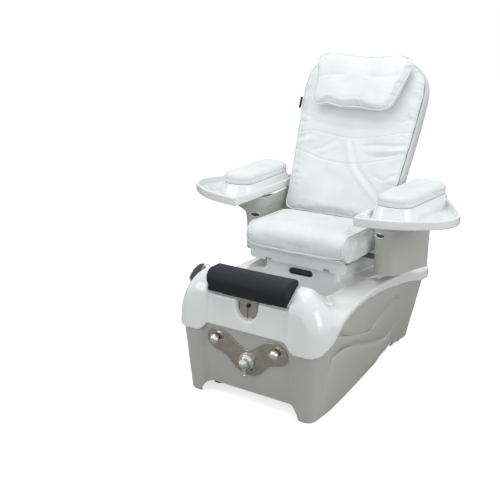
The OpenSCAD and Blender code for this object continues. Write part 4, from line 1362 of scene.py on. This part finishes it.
    def build(self, frame: dict) -> None:
        """Makes the plate, shower and latches and rounds copies of the other fittings."""
        neck, head, face = self._shower()
        self.made = [
            (self._plate(), "plate_metal", Body.BASE, ["faucet_plate"]),
            (neck, "chrome_trim", Body.SHOWER, ["hand_shower"]),
            (head, "chrome_trim", Body.SHOWER, []),
            (face, "outlet_plastic", Body.SHOWER, []),
        ]
        # A dark sheet just behind the waterfall's slot is painted shade, so that the opening reads dark
        # instead of showing the lit tub behind it.
        slot = [(u, self.slot_z + v) for u, v in round_rect(53, 9, 8.9)]
        painted_slot_shade = Shape().prism(slot, standing, 472.5, 474.5).outward()
        self.made.append((painted_slot_shade.done("waterfall_painted_slot_shade"), "outlet_plastic", Body.BASE, []))
        self.made += self._latches()
        for node, width, finish, body, angle in self.copies:
            self.made.append((softened(frame, node, width, angle), finish, body, [node]))

    def dress(self, palette: Palette) -> None:
        """Gives each fitting its finish, its body and its CAD nodes."""
        for obj, slot, body, nodes in self.made:
            palette.dress(obj, slot, body, *nodes)


# ---------------------------------------------------------------- the arms


@dataclass
class ArmColumns:
    """Grey columns beside the seat that flare out under the trays."""

    foot_z: float = 470.0
    foot_front: Pair = (500.0, 504.0)
    foot_slope: float = tan(radians(4.5))
    # Height over which the foot's slope fades out.
    foot_rise: float = 190.0
    # Cut that bares the hinge: across, along and up.
    hinge_x: Pair = (240, 560)
    hinge_y: Pair = (866, 996)
    hinge_z: Pair = (698, 798)
    wall: float = 0.005
    nose: Curve = curve((470, 0), (670, 2), (702, 6), (732, 12), (763.6, 20))
    flare: Curve = curve((470, 0), (670, 6), (702, 40), (732, 96), (763.6, 168))

    def _ring(self, z: float) -> list[Vector]:
        """Returns the right column's outline at z, its foot cut to the deck's slope."""
        n, f = self.nose(z), self.flare(z)
        # Nose, rear inner corner, rear outer corner and the outer front corner that flares.
        circles = [(333, 634, 40 + n), (352, 896, 46), (388, 890, 40 + n), (352 + f, 640 - 0.28 * f, 38)]
        points = []
        for p in hull_outline(circles, 144):
            foot = self.foot_front[1] - (p.y - self.foot_front[0]) * self.foot_slope + 0.4
            share = max(0.0, 1 - (z - self.foot_z) / self.foot_rise)
            points.append(chair(p.x, p.y, z + (foot - self.foot_z) * share))
        return points

    def build(self) -> None:
        """Makes both columns with their open tops cut for the hinge."""
        self.shells = []
        levels = [470, 472, *steps(480, 650, 17), *steps(656, 763.6, 32)]
        for side in ("right", "left"):
            shape = Shape().loft([self._ring(z) for z in levels], caps=(False, False)).outward()
            xs = self.hinge_x
            if side == "left":
                shape.mirrored()
                xs = (-xs[1], -xs[0])
            shell = thickened(shape.done(f"arm_column_{side}_shell"), self.wall)
            cut = Shape().block(*zip(xs, self.hinge_y, self.hinge_z)).cutter()
            self.shells.append((creased(combine(shell, [cut], "DIFFERENCE"), 50), side))

    def dress(self, palette: Palette) -> None:
        """Gives the columns the skirt's gloss."""
        for shell, side in self.shells:
            palette.dress(shell, "skirt_plastic", Body.SEAT, f"arm_column_{side}")


@dataclass
class Trays:
    """White manicure trays with raised rims, and the pads on them."""

    floor_z: float = 764.0
    rim_h: float = 40.0
    rim_w: float = 13.0
    plateau_z: float = 828.0
    # Growth over the pad's outline and height over the floor, up the plateau's side.
    plateau: Rows = (
        (22.5, 8.8), (20.5, 11), (19, 15), (16.5, 22), (13, 32), (9, 42), (6.5, 51), (5, 57), (4, 61),
        (2.5, 63.3), (-2, 64), (-20, 64))
    # Growth and height over the plateau up the pad's side: plain foot, seam and dome.
    pad_levels: Rows = (
        (-30, 0.0), (-9, 0.0), (-4, 1.2), (-1, 4.5), (0, 9), (0, 15), (-1.2, 19), (-2.6, 20.4), (-1.6, 22),
        (-0.3, 26), (-1.2, 32), (-4, 38), (-8.5, 43), (-16, 47.5), (-27, 50.6), (-40, 52.2), (-58, 53))
    # Middle and radius of the round outer edge, then the pad's middle, half sizes, corners and skew.
    round_at: Pair = (508.0, 618.0)
    round_r: float = 150.0
    pad_at: Pair = (407.0, 724.0)
    pad_half: Pair = (82.0, 214.0)
    pad_r: float = 62.0
    pad_skew: float = 12.0

    def _plan(self) -> list[Vector]:
        """Returns the right tray's outline, straight beside the seat and round outside."""
        points: Plan = [(286, 384)]
        points += [(286 + u, 375 + 0.05 * u + 0.00095 * u * u) for u in range(20, 231, 30)]
        (x, y), r = self.round_at, self.round_r
        points += [(x + r * cos(radians(a)), y + r * sin(radians(a))) for a in range(-48, 37, 14)]
        points += [(606, 742), (572, 806), (532, 872), (486, 928), (420, 962), (340, 962), (294, 930)]
        return even_points(corner_cut(points, 3), 320)

    def _pad_plan(self, grow: float) -> list[Vector]:
        """Returns the pad's outline, grown by some millimetres and skewed outwards at the rear."""
        (x, y), (hx, hy) = self.pad_at, self.pad_half
        return [
            Vector((x + u + self.pad_skew * v / hy, y + v))
            for u, v in round_rect(hx + grow, hy + grow, self.pad_r + grow, 14)
        ]

    def _matched(self, plan: Sequence[Vector], like: Sequence[Vector]) -> list[Vector]:
        """Returns the plan's points in the directions of another's, from the pad's middle."""
        middle = Vector(self.pad_at)

        def bearing(p: Vector) -> float:
            """Returns the direction of a point from the pad's middle, in radians."""
            return atan2(p.y - middle.y, p.x - middle.x)

        marks = sorted((bearing(p), i) for i, p in enumerate(plan))
        found = []
        for q in like:
            a = bearing(q)
            k = next((j for j, m in enumerate(marks) if m[0] >= a), 0)
            (a1, i1), (a0, i0) = marks[k], marks[k - 1]
            gap = (a1 - a0) % (2 * pi)
            t = ((a - a0) % (2 * pi)) / gap if gap > 1e-9 else 0.0
            found.append(plan[i0].lerp(plan[i1], min(1.0, t)))
        return found

    def _tray(self) -> Shape:
        """Returns the right tray: underside, rim, floor and the plateau under the pad."""
        edge = self._plan()
        z, h, w = self.floor_z, self.rim_h, self.rim_w
        # Inset from the edge and height over the floor: foot, outside, rim, inside and floor.
        outside = [(12, 0.2), (5, 0.2), (2, 1.2), (0.5, 4), (0, 8), (0, h - 7), (0.4, h - 3.5),
                   (1.8, h - 1.2), (4, h - 0.3), (6.5, h), (w - 4, h - 0.4), (w - 1.6, h - 1.8),
                   (w - 0.5, h - 4.5), (w, h - 8), (w + 0.6, 18), (w + 1.6, 12), (w + 4, 9), (w + 9, 8.2)]
        rings = [[chair(p.x, p.y, z + up) for p in inset_plan(edge, d)] for d, up in outside]
        foot = self._matched(self._pad_plan(25), edge)
        rings.append([chair(p.x, p.y, z + 8.1) for p in foot])
        for grow, up in self.plateau:
            rings.append([chair(p.x, p.y, z + up) for p in self._matched(self._pad_plan(grow), edge)])
        return Shape().loft(rings)

    def _pad(self) -> Shape:
        """Returns the right pad: a plain lower part, a seam and a domed top."""
        z = self.plateau_z + 0.3
        rings = [[chair(p.x, p.y, z + up) for p in self._pad_plan(grow)] for grow, up in self.pad_levels]
        return Shape().loft(rings)

    def build(self) -> None:
        """Makes both trays and both pads."""
        self.made = []
        for side in ("right", "left"):
            tray, pad = self._tray().outward(), self._pad().outward()
            if side == "left":
                tray.mirrored()
                pad.mirrored()
            self.made.append((side, tray.done(f"tray_{side}_shell"), pad.done(f"arm_pad_{side}_cushion")))

    def dress(self, palette: Palette) -> None:
        """Gives the trays their gloss and the pads their leather."""
        for side, tray, pad in self.made:
            body = Body.ARM_RIGHT if side == "right" else Body.ARM_LEFT
            palette.dress(tray, "white_plastic", body, f"tray_{side}")
            palette.dress(pad, "white_leather", body, f"arm_pad_{side}")


# ------------------------------------------------------------ soft pieces


@dataclass
class SeatCushion:
    """Thick seat cushion with a piped waterfall front, and the apron under it."""

    half_w: float = 255.0
    crown: float = 6.0
    crown_z: float = 660.0
    profile: Rows = (
        (756, 566), (640, 566), (500, 566), (444, 568), (416, 582), (396, 604), (386, 632), (388, 656),
        (398, 678), (424, 695), (480, 700), (600, 698), (690, 694), (734, 686), (752, 668), (758, 630))
    middle: Pair = (580.0, 628.0)
    # Below foot_z the cloth is held, and nothing of the cushion hangs under floor_z, in metres.
    foot_z: float = 0.576
    floor_z: float = 0.5658
    seam_x: float = 246.0
    # The welt from the rear over the side's top to the front, and round the front's lower corner.
    seam_side: Rows = (
        (752, 676), (720, 694), (640, 700), (560, 702), (480, 702), (440, 700), (412, 690), (394, 672),
        (385, 648), (385, 628), (388, 612))
    seam_corner: tuple[Point, ...] = ((243, 391, 602), (234, 394, 595), (218, 396, 591))
    filling: Stuffing = Stuffing(0.009, 4.0, 0.004, 0.006)
    apron_half: float = 246.0
    apron_z: float = 522.0
    apron_path: Rows = (
        (432.4, 522), (432.4, 540), (432, 556), (430, 564), (424, 570.5), (414, 577.5), (404, 585),
        (398, 591))
    rail_x: float = 150.0
    notch_half: float = 16.0
    notch_top: float = 533.5

    def _section(self, x: float) -> list[Vector]:
        """Returns the cushion's section at x, drawn in at the sides and crowned on top."""
        share = 0.07 * (abs(x) / self.half_w) ** 14
        crown = self.crown * cos(pi / 2 * x / self.half_w) - self.crown
        section = []
        for p in even_points(corner_cut(list(self.profile), 2), 150):
            y, z = mix(p.x, self.middle[0], share), mix(p.y, self.middle[1], share)
            section.append(chair(x, y, z + (crown if p.y > self.crown_z else 0)))
        return section

    def _seam(self) -> list[Vector]:
        """Returns the welt's line: up one side, across the front's foot and back."""
        right = [chair(self.seam_x, y, z) for y, z in self.seam_side]
        right += [chair(*p) for p in self.seam_corner]
        across = [chair(x, 396, 590 + 1.6 * sin(x / 37)) for x in (160, 100, 40, -40, -100, -160)]
        return right + across + [Vector((-p.x, p.y, p.z)) for p in reversed(right)]

    def build(self) -> None:
        """Makes the cushion, its welt and the apron."""
        xs = [-252, -251, -249, -245, -238, *steps(-225, 225, 40), 238, 245, 249, 251, 252]
        cushion = Shape().loft([self._section(x) for x in xs]).outward().done("seat_cushion_cover")
        self.filling.swell(cushion, lambda p: p.z < self.foot_z)
        for v in cushion.data.vertices:
            v.co.z = max(v.co.z, self.floor_z)
        self.cushion = reshaped(cushion, lambda p, n: slack_wave(p, 9, 0.0022) if p.z > self.foot_z else 0.0)
        self.piping = piped(self.cushion, "seat_welt", self._seam(), closed=False, radius=0.0042, rise=0.0022)
        self.apron = self._apron()

    def _apron(self) -> Object:
        """Returns the leather flap that hangs from the welt, with its notches over the rails."""
        path = even_points(corner_cut(list(self.apron_path), 2, closed=False), 30, False)
        rows = []
        for x in steps(-self.apron_half, self.apron_half, 98):
            round_foot = 10 * max(0.0, (abs(x) - self.apron_half + 14) / 14) ** 2
            row = []
            for k, p in enumerate(path):
                free = 1 - k / (len(path) - 1)
                wave = (1.1 * sin(x / 31) + 0.5 * sin(x / 11)) * free
                row.append(chair(x, p.x + wave, p.y + round_foot * free ** 3))
            rows.append(row)
        flap = thickened(Shape().loft(rows, closed=False).done("seat_apron_flap"), 0.0018)
        cuts = []
        for x in (-self.rail_x, self.rail_x):
            low = (x - self.notch_half, 420, 500)
            cuts.append(Shape().block(low, (x + self.notch_half, 440, self.notch_top)).cutter())
        return creased(combine(flap, cuts, "DIFFERENCE"), 50)

    def dress(self, palette: Palette) -> None:
        """Covers cushion, welt and apron in white leather."""
        palette.dress(self.cushion, "white_leather", Body.SEAT, "seat_cushion")
        palette.dress(self.piping, "white_leather", Body.SEAT)
        palette.dress(self.apron, "white_leather", Body.SEAT, "seat_apron")


@dataclass
class BackRest:
    """Hard shell and loose leather cover of the back, with its pull tab."""

    length: float = 765.0
    thick: float = 25.6
    depth: float = 171.6
    filling: Stuffing = Stuffing(0.008, 3.0, 0.012, 0.007)
    corner_r: float = 30.0
    # Foot of the pull tab, and its half width up its length.
    tab_at: Point = (-311, 6, 502.3)
    tab_widths: Rows = (
        (0, 7), (1.5, 9), (4, 9.8), (12, 10), (20, 10), (28, 10), (36, 10), (44, 10), (50, 9.8), (54, 9),
        (55.5, 7))
    shell_inset: float = 4.0
    # Place along the back and share of the full depth where the shell's bowl closes at both ends.
    shell_foot: Rows = ((5, 0.2), (5, 0.6), (5.2, 0.92), (5.8, 0.96), (7.2, 0.985), (9.6, 0.996), (13, 1.0))
    shell_top: Rows = (
        (744, 1.0), (747.5, 0.996), (750, 0.985), (751.6, 0.96), (752.2, 0.92), (752.4, 0.6), (752.4, 0.2))
    width: Curve = curve((-45, 262), (-20, 272), (90, 273), (230, 285), (400, 299), (560, 309),
                         (640, 309), (700, 294), (740, 260), (765, 208))
    folds: tuple[Fold, ...] = (
        # Two sewn lines across the cover.
        fold(-2.4, 3.2, (-296, 378), (-212, 399), (-135, 388), (-33, 375), (46, 376), (128, 390), (207, 411),
             (300, 434), pucker=0.35),
        fold(-2.4, 3.2, (-284, 304), (-210, 281), (-121, 259), (-29, 250), (66, 255), (156, 275), (226, 296),
             (284, 316), pucker=0.35),
        # Slack that gathers between them at the right.
        fold(-5.0, 9.0, (66, 340), (121, 353), (188, 357), (254, 360), (296, 378)),
        fold(6.0, 13.0, (90, 318), (150, 327), (214, 330), (262, 338), (294, 352)),
        fold(-4.5, 9.0, (140, 294), (205, 307), (250, 322), (288, 338)),
        # Slack at the left.
        fold(-4.0, 10.0, (-296, 346), (-251, 364), (-191, 384)),
        fold(4.0, 12.0, (-290, 322), (-240, 338), (-180, 352)),
        fold(-4.0, 10.0, (-200, 292), (-128, 318), (-70, 362)),
        fold(3.5, 14.0, (-150, 286), (-96, 308), (-44, 344)),
        # The long fold that runs down from the middle to the right corner.
        fold(4.0, 12.0, (-16, 366), (2, 327), (18, 280), (52, 219), (108, 170), (172, 115), (226, 66)),
        fold(-4.0, 11.0, (8, 366), (26, 330), (44, 284), (80, 228), (132, 184), (190, 134), (240, 92)),
        fold(-3.0, 8.0, (150, 216), (210, 188), (250, 214), (280, 250)),
        fold(-3.0, 8.0, (-300, 482), (-262, 468), (-216, 462)),
        fold(-2.5, 7.0, (-302, 446), (-270, 436), (-230, 438)),
        fold(-3.0, 8.0, (326, 642), (300, 634), (268, 634)),
        fold(-2.5, 8.0, (300, 500), (262, 478), (214, 470)),
        fold(2.5, 16.0, (-210, 470), (-90, 452), (40, 446), (170, 458)),
        fold(-2.0, 12.0, (-220, 440), (-110, 424), (20, 420), (140, 432)),
        fold(-2.5, 9.0, (-284, 150), (-240, 142), (-190, 150)),
        fold(2.0, 14.0, (-220, 60), (-120, 46), (10, 44), (120, 56)),
    )

    def _cover_ring(self, s: float) -> list[Vector]:
        """Returns the cover's section at s along the back: bowed front, round edges, flat rear."""
        half, r, n = self.length / 2, self.corner_r, 24
        e = (abs(s - half) / half) ** 14
        corner = max(0.0, r - s)
        w = self.width(s) - (r - sqrt(max(0.0, r * r - corner ** 2)))
        found = []
        for k in range(-n, n + 1):
            u = sin(pi / 2 * k / n)
            found.append((w * u, 5.0 + 5 * abs(u) ** 5))
        side = [(w * 0.994, self.thick - 12), (w * 0.985, self.thick - 5), (w * 0.965, self.thick - 1),
                (w * 0.95, self.thick)]
        found += side
        found += [(w * 0.95 * (1 - 2 * k / n), self.thick) for k in range(1, n)]
        found += [(-x, y) for x, y in reversed(side)]
        return [on_back(x, mix(y, 16, 0.6 * e), s) for x, y in found]

    def _shell_ring(self, s: float, share: float) -> list[Vector]:
        """Returns the shell's open section at s: a bowl with that share of its depth."""
        w, front = self.width(s) - self.shell_inset, self.thick + 0.6
        # The bowl is deepest at s 300 and 30 mm shallower 440 mm away from there.
        d = self.depth - 30 * (abs(s - 300) / 440) ** 4
        found = []
        for a in steps(0, pi, 56):
            y = front + (d - front) * share * max(0.0, sin(a)) ** 0.5
            found.append(on_back(w * signed_power(cos(a), 0.38), y, s))
        return found

    def _welt(self) -> list[Vector]:
        """Returns the line of the welt round the cover's edge."""
        side = [(self.width(s), s) for s in (60, 150, 250, 350, 450, 560, 640, 690, 720, 742, 756)]
        low = [(225, 0), (250, 5), (264, 16), (271, 32)]
        top = [(196, 764), (120, 765), (40, 765)]
        right = low + side + top
        line = [(x, 13.0, s) for x, s in right] + [(-x, 13.0, s) for x, s in reversed(right)]
        return [on_back(*p) for p in line]

    def build(self) -> None:
        """Makes the cover with its folds, welt and tab, and the shell behind it."""
        rows = [0, 2, 5, 10, 16, 24, *steps(34, 745, 72), 752, 758, 762, 765]
        cover = Shape().loft([self._cover_ring(s) for s in rows]).outward().done("back_cover")
        self.filling.swell(cover, lambda p: back_place(p)[1] > 17)
        self.cover = reshaped(cover, self._creases)
        self.piping = piped(self.cover, "back_welt", self._welt(), closed=True, radius=0.0036, rise=0.0018)
        even = [(s, 1.0) for s in steps(20, 736, 60)]
        rings = [self._shell_ring(s, share) for s, share in (*self.shell_foot, *even, *self.shell_top)]
        self.shell = thickened(Shape().loft(rings, closed=False).done("back_shell_bowl"), 0.005)
        x, y, foot = self.tab_at
        self.tab = Shape().loft([
            [on_back(x + u + 0.6 * sin(s / 9), y + v, foot + s) for u, v in round_rect(1.3, half, 1.2, 4)]
            for s, half in self.tab_widths
        ]).outward().done("back_pull_tab")

    def _creases(self, place: Vector, _: Vector) -> float:
        """Returns how far folds and slack move the cover's front at a place, in metres."""
        x, y, s = back_place(place)
        if y > 15:
            return 0.0
        edge = min(1.0, max(0.0, (self.width(s) - abs(x)) / 14))
        folds = sum(f(x, s) for f in self.folds) * MM * (0.4 + 0.6 * edge)
        return folds + slack_wave(place, 7, 0.0022)

    def dress(self, palette: Palette) -> None:
        """Covers the back in leather and gives the shell its satin plastic."""
        palette.dress(self.cover, "white_leather", Body.BACK, "back_cushion")
        palette.dress(self.shell, "shell_plastic", Body.BACK, "back_shell")
        palette.dress(self.piping, "white_leather", Body.BACK)
        palette.dress(self.tab, "tab_fabric", Body.BACK, "pull_tab")


@dataclass
class HeadPillow:
    """Wedge pillow that hangs over the top of the back, with a welt round it."""

    outline: Rows = (
        (0, 772), (70, 775), (140, 782), (196, 782), (230, 770), (247, 742), (246, 704), (236, 660),
        (224, 620), (212, 575), (198, 540), (180, 516), (146, 504), (100, 503), (50, 508), (0, 507),
        (-50, 503), (-100, 511), (-140, 517), (-180, 508), (-208, 520), (-220, 548), (-225, 600),
        (-232, 648), (-243, 700), (-247, 738), (-232, 768), (-196, 782), (-140, 784), (-70, 776))
    middle: Pair = (0.0, 645.0)
    crown: float = 20.0
    folds: tuple[Fold, ...] = (
        fold(-2.5, 9, (-225, 640), (-150, 660), (-60, 662)), fold(-2.5, 9, (40, 664), (140, 660), (240, 690)),
        fold(-2.0, 8, (-150, 516), (-130, 548), (-126, 590)), fold(-2.0, 8, (60, 506), (48, 540), (60, 580)),
    )
    filling: Stuffing = Stuffing(0.008, 3.5, 0.01, 0.005)

    def _seam_y(self, s: float) -> float:
        """Returns how far through the back the pillow's seam lies at s, negative in front."""
        return mix(-60, -25, max(0.0, min(1.0, (s - 503) / 280)))

    def _ring(self, share: float, front: bool) -> list[Vector]:
        """Returns a ring of the pillow, share 1 at the seam and 0 at the middle."""
        found = []
        for p in even_points(corner_cut(list(self.outline), 2), 150):
            x, s = mix(self.middle[0], p.x, share), mix(self.middle[1], p.y, share)
            seam = self._seam_y(s)
            if front:
                y = seam - self.crown * (1 - share ** 4) ** 0.6
            else:
                y = mix(-2.5, seam, share ** 24)
            found.append(on_back(x, y, s))
        return found

    def build(self) -> None:
        """Makes the pillow and its welt."""
        rings = [self._ring(k, True) for k in (0.03, 0.2, 0.4, 0.6, 0.75, 0.86, 0.93, 0.97, 0.99)]
        rings += [self._ring(1, True)]
        rings += [self._ring(k, False) for k in (0.99, 0.97, 0.94, 0.9, 0.82, 0.6, 0.3, 0.03)]
        pillow = Shape().loft(rings).outward().done("head_pillow_cushion")
        self.filling.swell(pillow, lambda p: back_place(p)[1] > -8)
        self.pillow = reshaped(pillow, self._dents)
        seam = self._ring(1, True)
        self.piping = piped(self.pillow, "head_pillow_welt", seam, closed=True, radius=0.004, rise=0.0024)

    def _dents(self, place: Vector, _: Vector) -> float:
        """Returns how far folds and slack move the pillow's front at a place, in metres."""
        x, y, s = back_place(place)
        if y > self._seam_y(s) + 4:
            return 0.0
        return sum(f(x, s) for f in self.folds) * MM + slack_wave(place, 8, 0.002)

    def dress(self, palette: Palette) -> None:
        """Covers the pillow in leather."""
        palette.dress(self.pillow, "white_leather", Body.PILLOW, "head_pillow")
        palette.dress(self.piping, "white_leather", Body.PILLOW)


@dataclass
class FootrestRoll:
    """Slate roll that rests on the slider in front of the basin."""

    half_len: float = 193.0
    # Section from the front foot over two arcs to the rear foot. An arc has its middle, its two
    # radii, the angles it runs between and its steps.
    front_foot: Pair = (22.5, 485.4)
    arcs: tuple[tuple[float, float, float, float, float, float, int], ...] = (
        (56.5, 545, 45.5, 45.5, 212, 90, 20), (98, 566.6, 25.5, 24, 80, -40, 16))
    rear_foot: Pair = (111.6, 554.6)
    filling: Stuffing = Stuffing(0.002, 3.0, 0.0, 0.004, 12)

    def build(self) -> None:
        """Makes the roll with its tight round ends."""
        profile: Plan = [self.front_foot]
        for y, z, across, up, start, end, count in self.arcs:
            angles = [radians(a) for a in steps(start, end, count)]
            profile += [(y + across * cos(a), z + up * sin(a)) for a in angles]
        profile.append(self.rear_foot)
        outline = even_points(profile, 120)
        rings = []
        for x in (-self.half_len, *steps(-188, 188, 40), self.half_len):
            rings.append([chair(x, p.x, p.y) for p in outline])
        roll = remeshed(Shape().loft(rings).outward().done("footrest_roll"), 0.0035)
        roll = reopened(roll).relax(6, 0.5).done("footrest_roll")
        self.filling.swell(roll, lambda p: False)
        self.roll = reshaped(roll, lambda p, n: slack_wave(p, 12, 0.0008))

    def dress(self, palette: Palette) -> None:
        """Covers the roll in slate leather."""
        palette.dress(self.roll, "pad_leather", Body.FOOTREST, "footrest_pad")


# ------------------------------------------------------------------- stage


@dataclass
class Studio:
    """Floor, lights, backdrop colour and camera."""

    camera_at: Point = (1.696, -3.1198, 1.670)
    azimuth: float = 33.37
    pitch: float = 17.56
    roll: float = 0.16
    lens: float = 57.83

    def build(self) -> None:
        """Makes the stage and the camera."""
        bpy.ops.mesh.primitive_plane_add(size=30, location=(0, 0, 0))
        floor = bpy.context.object
        floor.name = "studio_floor"
        g = Graph("floor_white_matt")
        self._paint_floor(g)
        floor.data.materials.append(g.material)
        top = self._lamp("softbox_top", (-0.3, -0.4, 3.4), (0, 0, 0.3), 2.6, 38)
        left = self._lamp("softbox_left", (-2.6, -3.2, 2.0), (0, 0, 0.6), 1.8, 26)
        right = self._lamp("softbox_right", (3.4, -0.9, 1.9), (0, 0, 0.6), 1.8, 34)
        bpy.context.scene.view_settings.view_transform = "Standard"
        self._world()
        self._camera()

    def _paint_floor(self, g: Graph) -> None:
        """Makes a floor that is white where it is seen and pale grey to the object."""
        g.finish(Base_Color=srgb("#b4b4b2"), Roughness=0.9)
        seen = g.add("ShaderNodeBsdfDiffuse", None, Color=srgb("#f2f2f2")).outputs[0]
        glow = g.add("ShaderNodeEmission", None, Color=(1, 1, 1, 1), Strength=0.72).outputs[0]
        white = g.add("ShaderNodeAddShader", None, _0=seen, _1=glow).outputs[0]
        looked_at = g.add("ShaderNodeLightPath").outputs["Is Camera Ray"]
        blend = g.add("ShaderNodeMixShader", None, _0=looked_at, _1=g.shader.outputs[0], _2=white)
        out = g.tree.nodes["Material Output"]
        g.tree.links.new(blend.outputs[0], out.inputs[0])

    def _lamp(self, name: str, at: Point, to: Point, size: float, power: float) -> Object:
        """Returns a square lamp of that side in metres and power in watts, turned to a point."""
        data = bpy.data.lights.new(name, "AREA")
        data.shape, data.size, data.energy = "SQUARE", size, power
        obj = bpy.data.objects.new(name, data)
        bpy.context.scene.collection.objects.link(obj)
        obj.location = at
        obj.rotation_euler = (Vector(to) - Vector(at)).to_track_quat("-Z", "Y").to_euler()
        return obj

    def _world(self) -> None:
        """Makes a backdrop that is white to camera and reflections and dimmer as a light."""
        world = bpy.data.worlds.new("studio")
        bpy.context.scene.world = world
        world.use_nodes = True
        tree = world.node_tree
        tree.nodes.clear()
        out = tree.nodes.new("ShaderNodeOutputWorld")
        fill, back = tree.nodes.new("ShaderNodeBackground"), tree.nodes.new("ShaderNodeBackground")
        fill.inputs[0].default_value, fill.inputs[1].default_value = srgb("#f6f8f9"), 0.55
        back.inputs[0].default_value, back.inputs[1].default_value = (1, 1, 1, 1), 1.0
        path = tree.nodes.new("ShaderNodeLightPath")
        looked_at = tree.nodes.new("ShaderNodeMath")
        looked_at.operation = "MAXIMUM"
        tree.links.new(path.outputs["Is Camera Ray"], looked_at.inputs[0])
        tree.links.new(path.outputs["Is Glossy Ray"], looked_at.inputs[1])
        blend = tree.nodes.new("ShaderNodeMixShader")
        tree.links.new(looked_at.outputs[0], blend.inputs[0])
        tree.links.new(fill.outputs[0], blend.inputs[1])
        tree.links.new(back.outputs[0], blend.inputs[2])
        tree.links.new(blend.outputs[0], out.inputs[0])

    def _camera(self) -> None:
        """Makes the camera from its place, azimuth, pitch, roll and lens."""
        data = bpy.data.cameras.new("camera")
        data.lens, data.sensor_width, data.dof.use_dof = self.lens, 36.0, False
        camera = bpy.data.objects.new("camera", data)
        bpy.context.scene.collection.objects.link(camera)
        az, p, r = (radians(a) for a in (self.azimuth, self.pitch, self.roll))
        ahead = Vector((-sin(az) * cos(p), cos(az) * cos(p), -sin(p)))
        right = Vector((cos(az), sin(az), 0))
        up = right.cross(ahead)
        turn = Matrix((right, up, -ahead)).transposed().to_4x4() @ Matrix.Rotation(r, 4, "Z")
        camera.matrix_world = Matrix.Translation(self.camera_at) @ turn
        bpy.context.scene.camera = camera


def main() -> None:
    """Builds the chair piece by piece and logs each."""
    logging.basicConfig(level=logging.INFO, format="%(name)s: %(message)s")
    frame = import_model()
    palette = Palette()
    palette.dress_frame(frame)
    fittings = WaterFittings()
    fittings.build(frame)
    fittings.dress(palette)
    for part in (BaseSkirt(), TubShell(), ArmColumns(), Trays(), SeatCushion(), BackRest(), HeadPillow(),
                 FootrestRoll()):
        part.build()
        part.dress(palette)
        LOG.info("%s built", type(part).__name__)
    Studio().build()


if __name__ == "__main__":
    main()
